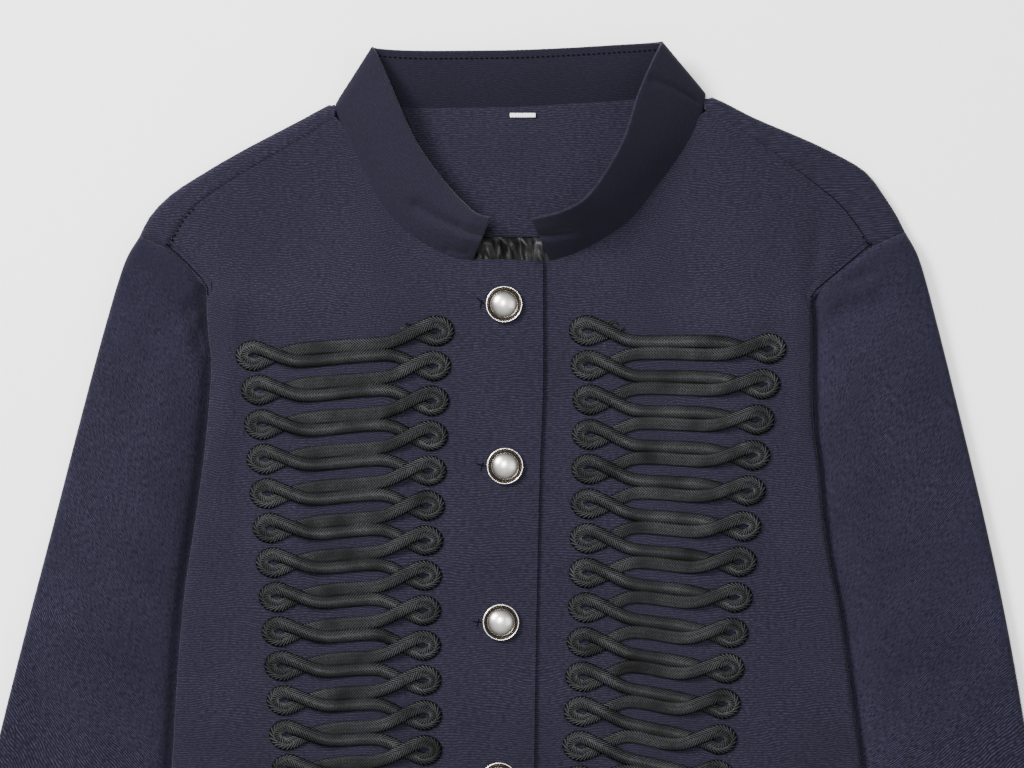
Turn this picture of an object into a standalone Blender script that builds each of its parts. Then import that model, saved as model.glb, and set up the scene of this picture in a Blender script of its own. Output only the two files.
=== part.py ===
"""A short military coat in ribbed cloth, laid flat with its front up.

The coat lies on a surface at z = 0. +Y points to the collar and +X to the wearer's left. The origin is on the
underside of the back, on the coat's middle line. Tables are in millimetres. A column called "out" is a distance from
the middle line, so each side of the coat reads its own table and its sign.
"""

import math

import bmesh
import bpy
from mathutils import Vector

MM = 0.001
COLLECTION = "short_coat"

# Walls and gaps, in millimetres
CLOTH = 1.6
COLLAR_WALL = 2.0
FACING_WALL = 1.2
LINING_WALL = 1.0
SEAM_GAP = 0.4
# How far each front's neck edge runs on to the collar
NECK_REACH = 1.3

# Heights of the middle of each wall above the surface
FLOOR = CLOTH / 2
SLEEVE_TOP = 6.2
SLEEVE_TUCKED = 3.4
BODY = 5.4
BODY_OVER_SLEEVE = 8.5
LIP_OVER_SLEEVE = 5.7
FRONT_TOP_LAP = 6.6
FRONT_UNDER_LAP = 4.4
SHOULDER_ROLL = (SLEEVE_TOP - FLOOR) / 2
FACING_HEIGHT = 2.6
LINING_HEIGHT = 2.5

# Where the fronts lap. The wearer's right front is on top.
LAP_EDGE = [(240.0, 15.1), (170.0, 15.1), (126.0, 13.5), (47.0, 11.6), (-37.0, 10.3), (-326.0, 7.0)]  # y, x
UNDER_EDGE_X = -28.0
LAP_RAMP = 42.0
SIDE_RAMP_START = 45.0
SIDE_RAMP_END = 130.0

# The turned-under side of each front
TURN_COLUMNS = 4
LIP_COLUMNS = 3
TURN_NOMINAL = 5.0
FOLD_GROWS = 14.0
LIP_DROP = 8.0
LIP_DROP_START = 3.0
# The rows of a front down its side, below the start of its fold and then by height
FOLD_DROPS = [2.4, 4.8, 7.2, 10.0, 14.5, 26.0]
SIDE_ROWS = [160.0, 110.0, 72.0, 56.0, 46.0, 22.0, -36.7, -130.0, -190.0, -226.0, -258.0, -324.0]
# The rows of the back on its roll over the shoulder, as shares of the roll
SHOULDER_ROWS = [0.0, 0.25, 0.45, 0.58, 0.72, 0.86, 1.0]

RIGHT = -1
LEFT = 1

# The armhole seam from the top of the shoulder to the underarm: out, y
ARMHOLE = {
    RIGHT: [
        (202.5, 249.5),
        (194.9, 245.2),
        (187.9, 242.5),
        (178.7, 234.4),
        (167.9, 223.6),
        (162.0, 215.5),
        (151.0, 199.0),
        (142.0, 166.0),
        (137.0, 131.0),
        (131.0, 99.0),
        (120.0, 72.0),
        (105.3, 55.0),
    ],
    LEFT: [
        (210.6, 251.6),
        (202.0, 247.8),
        (192.8, 243.3),
        (179.3, 232.7),
        (161.5, 218.2),
        (156.5, 210.5),
        (149.0, 196.0),
        (142.0, 165.0),
        (137.0, 131.0),
        (131.0, 99.0),
        (120.0, 72.0),
        (106.0, 55.0),
    ],
}

# The side fold of the body over the sleeve: y, out
SIDE_FOLD = {
    RIGHT: [
        (240.0, 170.0),
        (223.6, 166.6),
        (197.0, 164.6),
        (183.6, 163.0),
        (158.8, 164.4),
        (132.0, 167.0),
        (95.0, 172.0),
        (59.0, 177.4),
        (18.4, 181.0),
        (-36.7, 184.4),
        (-324.0, 205.0),
    ],
    LEFT: [
        (240.0, 164.0),
        (217.0, 159.8),
        (199.8, 159.7),
        (151.2, 160.2),
        (125.3, 163.3),
        (99.4, 165.7),
        (76.1, 169.0),
        (47.0, 174.8),
        (21.9, 178.3),
        (-36.7, 186.5),
        (-324.0, 222.3),
    ],
}
FOLD_START_Y = {RIGHT: 223.6, LEFT: 218.2}
# Where the wearer's right sleeve comes out from under the body near the hem: y of the start and the end
SLEEVE_CLEAR = (-258.0, -324.0)
HEM_Y = -324.0

# The side seam under the body, from the underarm to the hem: y, out
SIDE_SEAM = {
    RIGHT: [(46.0, 99.0), (22.0, 104.0), (-36.7, 119.0), (-130.0, 140.0), (-258.0, 168.5), (-324.0, 183.6)],
    LEFT: [(46.0, 99.5), (22.0, 104.5), (-36.7, 120.0), (-130.0, 144.0), (-258.0, 180.0), (-324.0, 200.0)],
}

# The sleeve's outer and inner edge, from the armhole to the cuff: out and y of each edge
SLEEVE = {
    RIGHT: [
        (202.5, 249.5, 105.3, 55.0),
        (210.5, 235.0, 107.0, 44.0),
        (220.9, 200.9, 110.0, 30.0),
        (234.0, 152.0, 116.0, 11.0),
        (248.9, 94.0, 124.0, -14.0),
        (264.0, 36.0, 133.0, -40.0),
        (283.0, -41.0, 146.0, -72.0),
        (315.0, -182.0, 188.0, -211.0),
        (347.2, -322.4, 231.1, -351.5),
    ],
    LEFT: [
        (210.6, 251.6, 106.0, 55.0),
        (218.2, 236.5, 107.5, 44.0),
        (227.9, 200.9, 110.5, 30.0),
        (240.0, 152.0, 116.5, 10.0),
        (253.8, 94.0, 124.5, -14.0),
        (266.0, 36.0, 133.5, -40.0),
        (279.7, -41.0, 146.0, -72.0),
        (306.5, -182.0, 181.0, -210.0),
        (333.0, -325.0, 216.0, -350.0),
    ],
}

# The back rolls over each shoulder to a seam on the front: out and y of the fold, out and y of the seam
SHOULDER = {
    RIGHT: [
        (202.5, 249.5, 188.2, 242.5),
        (197.1, 260.3, 183.5, 251.5),
        (185.8, 272.2, 176.5, 262.5),
        (167.9, 284.0, 160.5, 275.3),
        (147.4, 295.9, 142.0, 287.0),
        (124.7, 307.8, 120.0, 300.0),
        (112.3, 314.3, 107.5, 307.5),
        (100.4, 320.8, 96.7, 314.3),
    ],
    LEFT: [
        (210.6, 251.6, 192.8, 243.3),
        (206.3, 260.3, 187.5, 250.8),
        (198.7, 272.2, 181.0, 260.0),
        (189.0, 284.8, 173.0, 269.0),
        (170.1, 295.9, 158.5, 280.8),
        (148.0, 305.8, 141.0, 294.0),
        (128.0, 314.3, 123.5, 306.0),
        (106.5, 325.0, 103.0, 317.9),
    ],
}

# The back's neck edge between the shoulders: x, y and the share of the shoulder roll that is left there
BACK_NECK = [
    (-97.5, 318.0, 0.75),
    (-95.6, 318.4, 0.45),
    (-92.0, 319.4, 0.16),
    (-84.0, 320.2, 0.0),
    (-73.0, 319.2, 0.0),
    (-58.9, 317.8, 0.0),
    (-30.0, 317.9, 0.0),
    (0.0, 318.3, 0.0),
    (32.4, 320.1, 0.0),
    (64.3, 322.2, 0.0),
    (80.0, 324.0, 0.0),
    (91.0, 324.2, 0.0),
    (96.8, 323.0, 0.16),
    (100.4, 321.9, 0.45),
    (102.6, 321.2, 0.75),
]

# The neck edge of each front, from the lap to the shoulder seam: x, y
FRONT_NECK = {
    RIGHT: [
        (15.1, 235.3),
        (-5.0, 235.9),
        (-22.7, 236.2),
        (-33.5, 237.8),
        (-43.2, 242.0),
        (-59.9, 252.4),
        (-73.4, 267.6),
        (-84.8, 289.6),
        (-92.3, 305.5),
        (-96.7, 314.3),
    ],
    LEFT: [
        (-28.0, 233.6),
        (0.0, 234.3),
        (18.7, 235.8),
        (32.4, 240.0),
        (46.2, 246.8),
        (64.3, 259.4),
        (77.8, 276.2),
        (90.2, 294.0),
        (98.2, 309.0),
        (103.0, 317.9),
    ],
}

# The band collar, round the neck from the wearer's right: seam x and y, top x and y, rise, seam height.
# A seam height of 0 means that the collar stands on the front there.
COLLAR = [
    (-22.7, 237.6, -13.5, 260.3, 17.0, 0.0),
    (-33.5, 239.3, -21.5, 263.0, 16.5, 0.0),
    (-46.0, 245.2, -27.0, 268.0, 15.0, 0.0),
    (-59.2, 253.9, -34.0, 275.3, 13.0, 0.0),
    (-72.5, 268.8, -44.5, 288.3, 12.0, 0.0),
    (-83.7, 290.3, -54.6, 304.0, 12.0, 0.0),
    (-91.2, 306.5, -62.6, 321.5, 12.4, 0.0),
    (-94.6, 316.0, -69.5, 337.8, 12.4, 0.0),
    (-95.6, 319.8, -75.0, 349.6, 12.2, 5.7),
    (-95.0, 323.2, -76.6, 352.2, 11.9, 4.2),
    (-90.0, 323.4, -73.6, 351.6, 11.9, 2.6),
    (-76.0, 320.9, -64.0, 350.9, 12.0, 1.5),
    (-58.0, 318.2, -49.0, 350.5, 12.0, 1.3),
    (-29.5, 318.3, -25.0, 350.6, 12.0, 1.3),
    (0.0, 318.7, 2.0, 351.0, 12.0, 1.3),
    (32.4, 320.5, 30.0, 352.2, 12.0, 1.3),
    (64.3, 322.6, 57.0, 353.8, 12.0, 1.3),
    (82.0, 325.0, 68.5, 354.4, 12.3, 1.5),
    (96.0, 328.4, 76.4, 354.8, 13.6, 2.7),
    (101.2, 328.2, 79.0, 354.9, 15.4, 4.2),
    (101.4, 324.8, 77.6, 351.6, 17.2, 5.7),
    (100.0, 318.0, 72.6, 341.4, 19.0, 0.0),
    (96.4, 307.6, 66.0, 325.4, 21.0, 0.0),
    (88.8, 294.3, 59.2, 304.0, 22.5, 0.0),
    (76.4, 277.2, 48.0, 283.9, 23.5, 0.0),
    (63.2, 260.7, 37.4, 270.7, 24.5, 0.0),
    (45.6, 248.2, 25.4, 264.1, 24.5, 0.0),
    (31.8, 241.3, 16.0, 261.5, 22.5, 0.0),
    (18.7, 237.3, 9.1, 260.0, 20.0, 0.0),
]

COLLAR_ROWS = [0.03, 0.35, 0.68, 1.0]

# Facing inside the back neck and the lining under it
FACING_HALF = 60.0
FACING_LOW_Y = 250.0
LINING_HALF = 48.0
LINING_LOW_Y = 208.0
LABEL = {"x": 4.2, "y": 315.9, "width": 13.8, "height": 2.2, "thickness": 1.0}

# Front hem of each side: out, y, from the lap to the fold
HEM = [(0.0, -333.7), (60.0, -333.0), (120.0, -330.5), (205.0, -324.0)]

# Buttons: x, y
BUTTONS = [(-5.9, 213.7), (-5.4, 126.4), (-7.6, 42.1), (-8.6, -43.2), (-9.7, -128.5), (-10.8, -213.8)]
# The button's profile from the middle of its back: radius, height
BUTTON_PROFILE = [(8.6, 0.0), (9.9, 0.7), (9.9, 1.5), (9.0, 2.2), (8.3, 1.7), (7.2, 3.1), (4.2, 4.5), (0.0, 5.0)]

# Braid: flat plaited cord in rows of loops down each front
BRAID_WIDTH = 5.6
BRAID_THICK = 1.7
BRAID_OVER = 2.1
BRAID_ROWS = 16
LOOP_LONG = 7.0
LOOP_HIGH = 4.9
LOOP_EDGE = 3.2
LOOP_TO_CROSSING = 11.3
OUTER_STRAIGHT = 24.5
INNER_STRAIGHT = 21.5
STRAND_HALF = 3.35
BRAID_TAIL = 6.0
LOOP_ANGLES = (-90, -50, -17, 17, 50, 90)
# Rows by number: outer loop's edge, inner loop's edge
BRAID_EDGES = {
    RIGHT: [(0, 150.7, 32.8), (1, 147.7, 34.6), (3, 144.7, 36.2), (8, 136.6, 40.0), (12, 131.3, 39.4), (18, 123.5, 41.0)],
    LEFT: [(0, 146.2, 29.1), (1, 142.9, 30.1), (2, 139.9, 31.0), (8, 125.8, 28.6), (12, 118.0, 25.6), (18, 111.0, 23.0)],
}
# The first loops' heights and their steps: outer y, outer step, inner y, inner step
BRAID_RISE = {RIGHT: (186.0, 18.58, 199.3, 18.84), LEFT: (189.8, 19.15, 199.5, 18.68)}

# Colours
COLOURS = {
    "navy": ((0.034, 0.032, 0.058), 0.85, 0.0),
    "lining": ((0.02, 0.02, 0.025), 0.35, 0.0),
    "braid": ((0.018, 0.019, 0.022), 0.7, 0.0),
    "silver": ((0.55, 0.52, 0.5), 0.35, 1.0),
    "label": ((0.8, 0.8, 0.8), 0.8, 0.0),
}


def soften(share):
    """0 to 1 with level ends."""
    share = min(max(share, 0.0), 1.0)
    return share * share * (3.0 - 2.0 * share)


def ramp(share, corner=0.2):
    """0 to 1 in a straight line with rounded corners."""
    share = min(max(share, 0.0), 1.0)
    rest = 1.0 - corner
    if share < corner:
        return share * share / (2.0 * corner * rest)
    if share > rest:
        return 1.0 - (1.0 - share) ** 2 / (2.0 * corner * rest)
    return (share - corner / 2.0) / rest


def follow(rows, key):
    """The values at a key in rows of (key, value, ...), on a smooth curve through the rows."""
    if rows[0][0] > rows[-1][0]:
        rows = rows[::-1]
    key = min(max(key, rows[0][0]), rows[-1][0])
    last = len(rows) - 1
    i = 0
    while i < last - 1 and key > rows[i + 1][0]:
        i += 1
    step = rows[i + 1][0] - rows[i][0]
    share = (key - rows[i][0]) / step
    before, after = max(i - 1, 0), min(i + 2, last)
    values = []
    for column in range(1, len(rows[0])):
        start, end = rows[i][column], rows[i + 1][column]
        slope_in = (end - rows[before][column]) / (rows[i + 1][0] - rows[before][0]) * step
        slope_out = (rows[after][column] - start) / (rows[after][0] - rows[i][0]) * step
        a, b = share * share, share * share * share
        values.append(
            (2 * b - 3 * a + 1) * start + (b - 2 * a + share) * slope_in + (3 * a - 2 * b) * end + (b - a) * slope_out
        )
    return values


def by_length(points):
    """Rows of (share of the length, coordinates) for a line through points."""
    lengths = [0.0]
    for before, after in zip(points, points[1:]):
        lengths.append(lengths[-1] + math.dist(before[:2], after[:2]))
    return [(length / lengths[-1], *point) for length, point in zip(lengths, points)]


def by_number(points):
    """Rows of (share of the count, coordinates)."""
    return [(i / (len(points) - 1), *point) for i, point in enumerate(points)]


def lap_edge(y):
    return follow(LAP_EDGE, y)[0]


def fold_out(side, y):
    return follow(SIDE_FOLD[side], y)[0]


def tucked(side, y):
    """1 where the body's side lies over the sleeve, 0 above the start of the fold."""
    return soften((FOLD_START_Y[side] + 6.0 - y) / 9.0)


def over_sleeve(side, y):
    """1 where the body's side is held up by the sleeve under it, 0 at the hem on the wearer's right."""
    if side == LEFT:
        return 1.0
    return soften((y - SLEEVE_CLEAR[1]) / (SLEEVE_CLEAR[0] - SLEEVE_CLEAR[1]))


def lip_height(side, y):
    return FLOOR + (LIP_OVER_SLEEVE - FLOOR) * over_sleeve(side, y)


def side_height(side, y):
    """Height of the front at its side fold, or at the armhole above the fold."""
    above = soften((y - FOLD_START_Y[side] + 8.0) / 10.0)
    low = BODY + (BODY_OVER_SLEEVE - BODY) * over_sleeve(side, y)
    return low + (SLEEVE_TOP - low) * above


def front_height(side, x, y):
    """Height of the middle of a front's wall over the surface."""
    out = x * side
    share = (out - SIDE_RAMP_START) / (SIDE_RAMP_END - SIDE_RAMP_START)
    height = BODY + (side_height(side, y) - BODY) * ramp(share)
    if side == RIGHT:
        lap = FRONT_TOP_LAP - BODY
        return height + lap * (1.0 - soften((-x + UNDER_EDGE_X) / LAP_RAMP))
    lap = FRONT_UNDER_LAP - BODY
    return height + lap * (1.0 - soften((x - 20.0) / LAP_RAMP))


def sleeve_inner_edge(side, y):
    """Distance from the middle line of the edge of the sleeve that lies under the body."""
    rows = [(row[1], row[0]) for row in ARMHOLE[side]]
    rows += [(row[3], row[2]) for row in SLEEVE[side][1:]]
    return follow(rows, y)[0]


def lip_end(side, y):
    """Distance from the middle line of the seam where the front's turned-under side ends."""
    rows = [(row[1], row[0]) for row in ARMHOLE[side][3:]]
    rows += SIDE_SEAM[side]
    return follow(rows, y)[0]


def turned_side(side, y):
    """A front's turned-under side at y: where the roll starts, its radius, and the lengths of roll and lip."""
    radius = (side_height(side, y) - lip_height(side, y)) / 2
    start = fold_out(side, y) - radius
    lip = max(start - lip_end(side, y), 1.0)
    return start, radius, math.pi * radius, lip


def turn_under(side, past, y):
    """A point of a front's side, past the start of its roll by a length of cloth."""
    start, radius, arc, _ = turned_side(side, y)
    top = side_height(side, y)
    if past < arc:
        angle = past / radius
        out = start + radius * math.sin(angle)
        return Vector((out * side, y, top - radius + radius * math.cos(angle)))
    out = start - (past - arc)
    beyond = sleeve_inner_edge(side, y) - out - LIP_DROP_START
    height = FLOOR + (lip_height(side, y) - FLOOR) * (1.0 - soften(beyond / LIP_DROP))
    return Vector((out * side, y, height))


def shifted(points, distance):
    """A line moved sideways, to the left of its direction."""
    moved = []
    for i, point in enumerate(points):
        before, after = Vector(points[max(i - 1, 0)]), Vector(points[min(i + 1, len(points) - 1)])
        way = (after - before).normalized()
        moved.append((point[0] - way.y * distance, point[1] + way.x * distance))
    return moved


def patch_between(top, low, inner, outer):
    """A function from shares across and down to a point of a sheet that four lines bound."""
    corners = [Vector(top(0.0)), Vector(top(1.0)), Vector(low(0.0)), Vector(low(1.0))]

    def place(across, down):
        spot = Vector(top(across)).lerp(Vector(low(across)), down)
        spot += (Vector(inner(down)) - corners[0].lerp(corners[2], down)) * (1 - across) ** 2
        spot += (Vector(outer(down)) - corners[1].lerp(corners[3], down)) * across**2
        return spot

    return place


def front_lines(side):
    """A front's top edge and its side, as rows of (share of the length, x, y)."""
    seam = [(row[2] * side, row[3]) for row in reversed(SHOULDER[side])]
    seam = shifted(seam, SEAM_GAP / 2 * -side)
    neck = shifted(FRONT_NECK[side], NECK_REACH * side)
    top = by_length([*neck[:-1], *seam])
    armhole = shifted([(out * side, y) for out, y in ARMHOLE[side]], SEAM_GAP / 2 * -side)
    line = [top[-1][1:], *armhole[3:5]]
    heights = [FOLD_START_Y[side] - drop for drop in FOLD_DROPS] + SIDE_ROWS
    line += [(turned_side(side, y)[0] * side, y) for y in heights]
    return top, by_length(line)


def front_patch(side):
    """A function from shares across and down to a point of a front, and its columns and rows as shares."""
    top, down = front_lines(side)
    start_y = top[0][2]

    def inner(share):
        y = start_y + (hem_height(0.0) - start_y) * share
        return (lap_edge(y) if side == RIGHT else UNDER_EDGE_X, y)

    def low(share):
        x = inner(1.0)[0] + (down[-1][1] - inner(1.0)[0]) * share
        return (x, hem_height(x))

    flat = patch_between(lambda share: follow(top, share), low, inner, lambda share: follow(down, share))
    columns = [row[0] for row in top[:-1]] + [1.0 + i for i in range(TURN_COLUMNS + LIP_COLUMNS + 1)]

    def place(across, share):
        """across is a share of the flat width up to 1, then 1 and the number of a column of the turned side."""
        edge = flat(1.0, share)
        width = abs(edge.x - flat(0.0, share).x)
        start, _, arc, lip = turned_side(side, edge.y)
        whole = (arc + lip) * soften((FOLD_START_Y[side] - edge.y) / FOLD_GROWS)
        length = max(whole, TURN_NOMINAL)
        back = length - whole
        if across < 1.0:
            spot = flat(across, share)
            return Vector((spot.x, spot.y, front_height(side, spot.x, spot.y)))
        number = across - 1.0
        if number <= TURN_COLUMNS:
            part = arc * number / TURN_COLUMNS
        else:
            level = start - sleeve_inner_edge(side, edge.y)
            level = min(max(level, 1.5), lip - min(4.0, lip * 0.3))
            sunk = min(level + LIP_DROP_START + LIP_DROP, (level + lip) / 2)
            part = arc + (level, sunk, lip)[int(number) - TURN_COLUMNS - 1]
        past = part / (arc + lip) * length - back
        if past <= 0.0:
            spot = flat(1.0 + past / width, share)
            return Vector((spot.x, spot.y, front_height(side, spot.x, spot.y)))
        return turn_under(side, past, edge.y)

    return place, columns, [row[0] for row in down]


def hem_height(x):
    return follow(HEM, abs(x))[0]


def back_columns():
    """Rows of the back's top edge from the wearer's right: fold x and y, seam x and y, share of the roll."""
    rows = [(-row[0], row[1], -row[2], row[3], 1.0) for row in SHOULDER[RIGHT]]
    for x, y, share in BACK_NECK:
        rows.append((x, y + SHOULDER_ROLL, x, y - 4.0, share))
    rows += [(row[0], row[1], row[2], row[3], 1.0) for row in reversed(SHOULDER[LEFT])]
    return rows


def back_sides(begin_right, begin_left):
    """The back's two side edges on the surface, from the shoulder fold to the hem, with shared keys."""
    lines = []
    for side, begin in ((RIGHT, begin_right), (LEFT, begin_left)):
        line = [(out * side, y) for out, y in ARMHOLE[side]]
        line += [(out * side, y) for y, out in SIDE_SEAM[side]]
        moved = shifted(line, 2 * SEAM_GAP * -side)
        lines.append(by_length([tuple(begin), *moved[1:]]))
    right, left = lines
    keys = [(a[0] + b[0]) / 2 for a, b in zip(right, left)]
    return [[(key, *row[1:]) for key, row in zip(keys, line)] for line in lines]


def back_patch():
    """A function from a share across and a row to a point of the back, and its columns and rows."""
    edge_rows = by_length(back_columns())

    def turn(across):
        """Where the roll over the shoulder starts, its way, the length past the roll and the share that is left."""
        fold_x, fold_y, seam_x, seam_y, share = follow(edge_rows, across)
        fold, seam = Vector((fold_x, fold_y)), Vector((seam_x, seam_y))
        way = (fold - seam).normalized()
        begin = fold - way * SHOULDER_ROLL
        run = max((begin - seam).length - SEAM_GAP / 2, 0.5)
        return begin, way, run, min(max(share, 0.0), 1.0)

    right, left = back_sides(turn(0.0)[0], turn(1.0)[0])

    spread = [(row[0], i / (len(edge_rows) - 1)) for i, row in enumerate(edge_rows)]

    def low(share):
        x = right[-1][1] + (left[-1][1] - right[-1][1]) * follow(spread, share)[0]
        return (x, hem_height(x))

    flat = patch_between(
        lambda share: turn(share)[0], low, lambda share: follow(right, share), lambda share: follow(left, share)
    )
    rows = [-row for row in SHOULDER_ROWS] + [row[0] for row in right[1:]]

    def on_floor(across, down):
        spot = flat(across, down)
        return Vector((spot.x, spot.y, FLOOR))

    def place(across, row):
        """row is a share of the flat cloth, or minus the share of the roll that is left before its end."""
        begin, way, run, share = turn(across)
        arc = math.pi * SHOULDER_ROLL
        if row > 0.0:
            spare = max(0.0, 1.0 - share) * (run + arc)
            whole = (begin - flat(across, 1.0)).length
            return on_floor(across, row + spare / whole * (1.0 - row) ** 2)
        along = (run + arc) * (share + row)
        if along <= 0.0:
            return on_floor(across, -along / (begin - flat(across, 1.0)).length)
        if along < arc:
            angle = along / SHOULDER_ROLL
            spot = begin + way * SHOULDER_ROLL * math.sin(angle)
            return Vector((spot.x, spot.y, FLOOR + SHOULDER_ROLL * (1.0 - math.cos(angle))))
        spot = begin - way * (along - arc)
        height = front_height(LEFT if spot.x > 0 else RIGHT, spot.x, spot.y)
        return Vector((spot.x, spot.y, SLEEVE_TOP + (height - SLEEVE_TOP) * (along - arc) / run))

    return place, [row[0] for row in edge_rows], rows


def sleeve_patch(side):
    """A function from a place round and a share down to a point of the sleeve's tube, and its columns and rows.

    A place round is 0 to 1 on the outer fold, 1 to 2 on the top, 2 to 3 on the inner fold, 3 to 4 below and 4 to 5 on
    the outer fold again.
    """
    stations = by_number(SLEEVE[side])
    armhole = by_length(ARMHOLE[side])
    first = SLEEVE[side][0]

    def chord(down, share):
        """A point in plan between the outer edge at share 0 and the inner edge at 1."""
        outer_out, outer_y, inner_out, inner_y = follow(stations, down)
        straight = Vector((outer_out, outer_y)).lerp(Vector((inner_out, inner_y)), share)
        bend = Vector(follow(armhole, share)) - Vector(first[:2]).lerp(Vector(first[2:]), share)
        return straight + bend * (1.0 - soften(down / 0.4))

    def width(down):
        points = [chord(down, i / 24) for i in range(25)]
        return sum((b - a).length for a, b in zip(points, points[1:]))

    def fold_share(down, beyond):
        """The share of the chord that is a distance outside the body's side fold."""
        low, high = 0.0, 1.0
        for _ in range(18):
            middle = (low + high) / 2
            out, y = chord(down, middle)
            if out > fold_out(side, y) + beyond:
                low = middle
            else:
                high = middle
        return low

    def bends(down):
        """Shares of the top: where the tucked part starts to sink, where it has sunk, and both ends."""
        fade = min(down / 0.08, 1.0)
        sinks = fold_share(down, 8.0) * fade + armhole[3][0] * (1.0 - fade)
        sunk = fold_share(down, 1.0) * fade + armhole[4][0] * (1.0 - fade)
        sunk = min(sunk, 0.97)
        return [0.0, min(sinks, sunk - 0.03), sunk, 1.0]

    def top_share(down, part):
        """part is 0 to 1 up to the first bend, 1 to 2 to the second and 2 to 3 to the inner edge."""
        marks = bends(down)
        piece = min(int(part), 2)
        return marks[piece] + (marks[piece + 1] - marks[piece]) * (part - piece)

    def top_height(down, share):
        out, y = chord(down, share)
        cover = soften((fold_out(side, y) + 8.0 - out) / 7.0) * tucked(side, y)
        return SLEEVE_TOP + (SLEEVE_TUCKED - SLEEVE_TOP) * cover

    def place(round_place, down):
        length = width(down)
        outer = (top_height(down, 0.02) - FLOOR) / 2
        inner = (top_height(down, 0.98) - FLOOR) / 2
        piece = min(int(round_place), 4)
        part = round_place - piece
        across = top_share(down, 3.0 * (part if piece == 1 else 1.0 - part))
        flat_share = outer / length + (1.0 - (outer + inner) / length) * across
        if piece == 0:
            share = outer * (1.0 - math.cos(math.pi / 2 * part)) / length
            height = FLOOR + outer * (1.0 + math.sin(math.pi / 2 * part))
        elif piece == 1:
            share = flat_share
            height = top_height(down, share)
        elif piece == 2:
            share = 1.0 - inner * (1.0 - math.sin(math.pi * part)) / length
            height = FLOOR + inner * (1.0 + math.cos(math.pi * part))
        elif piece == 3:
            share = flat_share
            height = FLOOR
        else:
            share = outer * (1.0 - math.sin(math.pi / 2 * part)) / length
            height = FLOOR + outer * (1.0 - math.cos(math.pi / 2 * part))
        ahead = chord(down, min(share + 0.01, 1.0)) - chord(down, max(share - 0.01, 0.0))
        away = Vector((-ahead.y, ahead.x)).normalized() * -1.0
        spot = chord(down, share) - away * SEAM_GAP * max(0.0, 1.0 - down * 12)
        return Vector((spot.x * side, spot.y, height))

    marks = [row[0] for row in armhole]
    run = [marks[1] / marks[3], marks[2] / marks[3], 1.0, 1.5, 2.0]
    run += [2.0 + (mark - marks[4]) / (1.0 - marks[4]) for mark in marks[5:-1]]
    top = [1.0 + part / 3.0 for part in run]
    below = [4.0 - part / 3.0 for part in reversed(run)]
    outer_fold = [0.0, 0.33, 0.67, 1.0]
    inner_fold = [2.0, 2.25, 2.5, 2.75, 3.0]
    round_places = outer_fold + top + inner_fold + below + [4.0, 4.33, 4.67, 5.0]
    rows = [0.0, 0.03, 0.08, 0.15, 0.25, 0.36, 0.48, 0.6, 0.72, 0.86]
    if side == RIGHT:
        rows += [0.9, 0.93, 0.96]
    return place, round_places, [*rows, 1.0]


def collar_patch():
    """A function from shares round and up to a point of the band collar."""
    rows = []
    for seam_x, seam_y, top_x, top_y, rise, height in COLLAR:
        if height == 0.0:
            height = front_height(LEFT if seam_x > 0 else RIGHT, seam_x, seam_y)
        rows.append((seam_x, seam_y, height, top_x, top_y, height + rise))
    stations = by_number(rows)

    def place(across, up):
        values = follow(stations, across)
        seam, top = Vector(values[:3]), Vector(values[3:])
        spot = seam.lerp(top, up)
        spot.z += 1.2 * math.sin(math.pi * up)
        return spot

    return place


def facing_patch(across, down):
    """A point of the facing inside the back neck."""
    x = -FACING_HALF + 2 * FACING_HALF * across
    neck = [(row[0], row[1]) for row in BACK_NECK]
    top = follow(neck, x)[0] - 0.2
    low = FACING_LOW_Y + 6.0 * (x / FACING_HALF) ** 2
    return Vector((x, top + (low - top) * down, FACING_HEIGHT))


def lining_patch(across, down):
    x = -LINING_HALF + 2 * LINING_HALF * across
    top = FACING_LOW_Y - SEAM_GAP + 6.0 * (x / FACING_HALF) ** 2
    return Vector((x, top + (LINING_LOW_Y - top) * down, LINING_HEIGHT))


def make_material(name):
    colour, roughness, metallic = COLOURS[name]
    material = bpy.data.materials.new(name)
    material.use_nodes = True
    shader = material.node_tree.nodes["Principled BSDF"]
    shader.inputs["Base Color"].default_value = (*colour, 1.0)
    shader.inputs["Roughness"].default_value = roughness
    shader.inputs["Metallic"].default_value = metallic
    return material


def add_object(name, mesh, material, collection):
    mesh.materials.append(material)
    thing = bpy.data.objects.new(name, mesh)
    collection.objects.link(thing)
    return thing


def grid_mesh(name, columns, rows, place, weld=False, cap=False):
    """A grid whose corners are placed by a function of the values in two lists, across and down."""
    shape = bmesh.new()
    bmesh.ops.create_grid(shape, x_segments=len(columns) - 1, y_segments=len(rows) - 1, size=0.5)
    for vert in shape.verts:
        column = round((vert.co.x + 0.5) * (len(columns) - 1))
        row = round((vert.co.y + 0.5) * (len(rows) - 1))
        vert.co = place(columns[column], rows[row]) * MM
    if weld:
        bmesh.ops.remove_doubles(shape, verts=shape.verts, dist=0.00001)
    if cap:
        bmesh.ops.holes_fill(shape, edges=[edge for edge in shape.edges if edge.is_boundary])
        bmesh.ops.recalc_face_normals(shape, faces=shape.faces)
    mesh = bpy.data.meshes.new(name)
    shape.to_mesh(mesh)
    shape.free()
    return mesh


def even(steps):
    return [i / steps for i in range(steps + 1)]


def add_wall(thing, thickness):
    wall = thing.modifiers.new("wall", "SOLIDIFY")
    wall.thickness = thickness * MM
    wall.offset = 0.0
    wall.use_quality_normals = True


def add_cloth(name, patch, thickness, material, collection, weld=False):
    place, columns, rows = patch
    thing = add_object(name, grid_mesh(name, columns, rows, place, weld), material, collection)
    add_wall(thing, thickness)
    return thing


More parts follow.
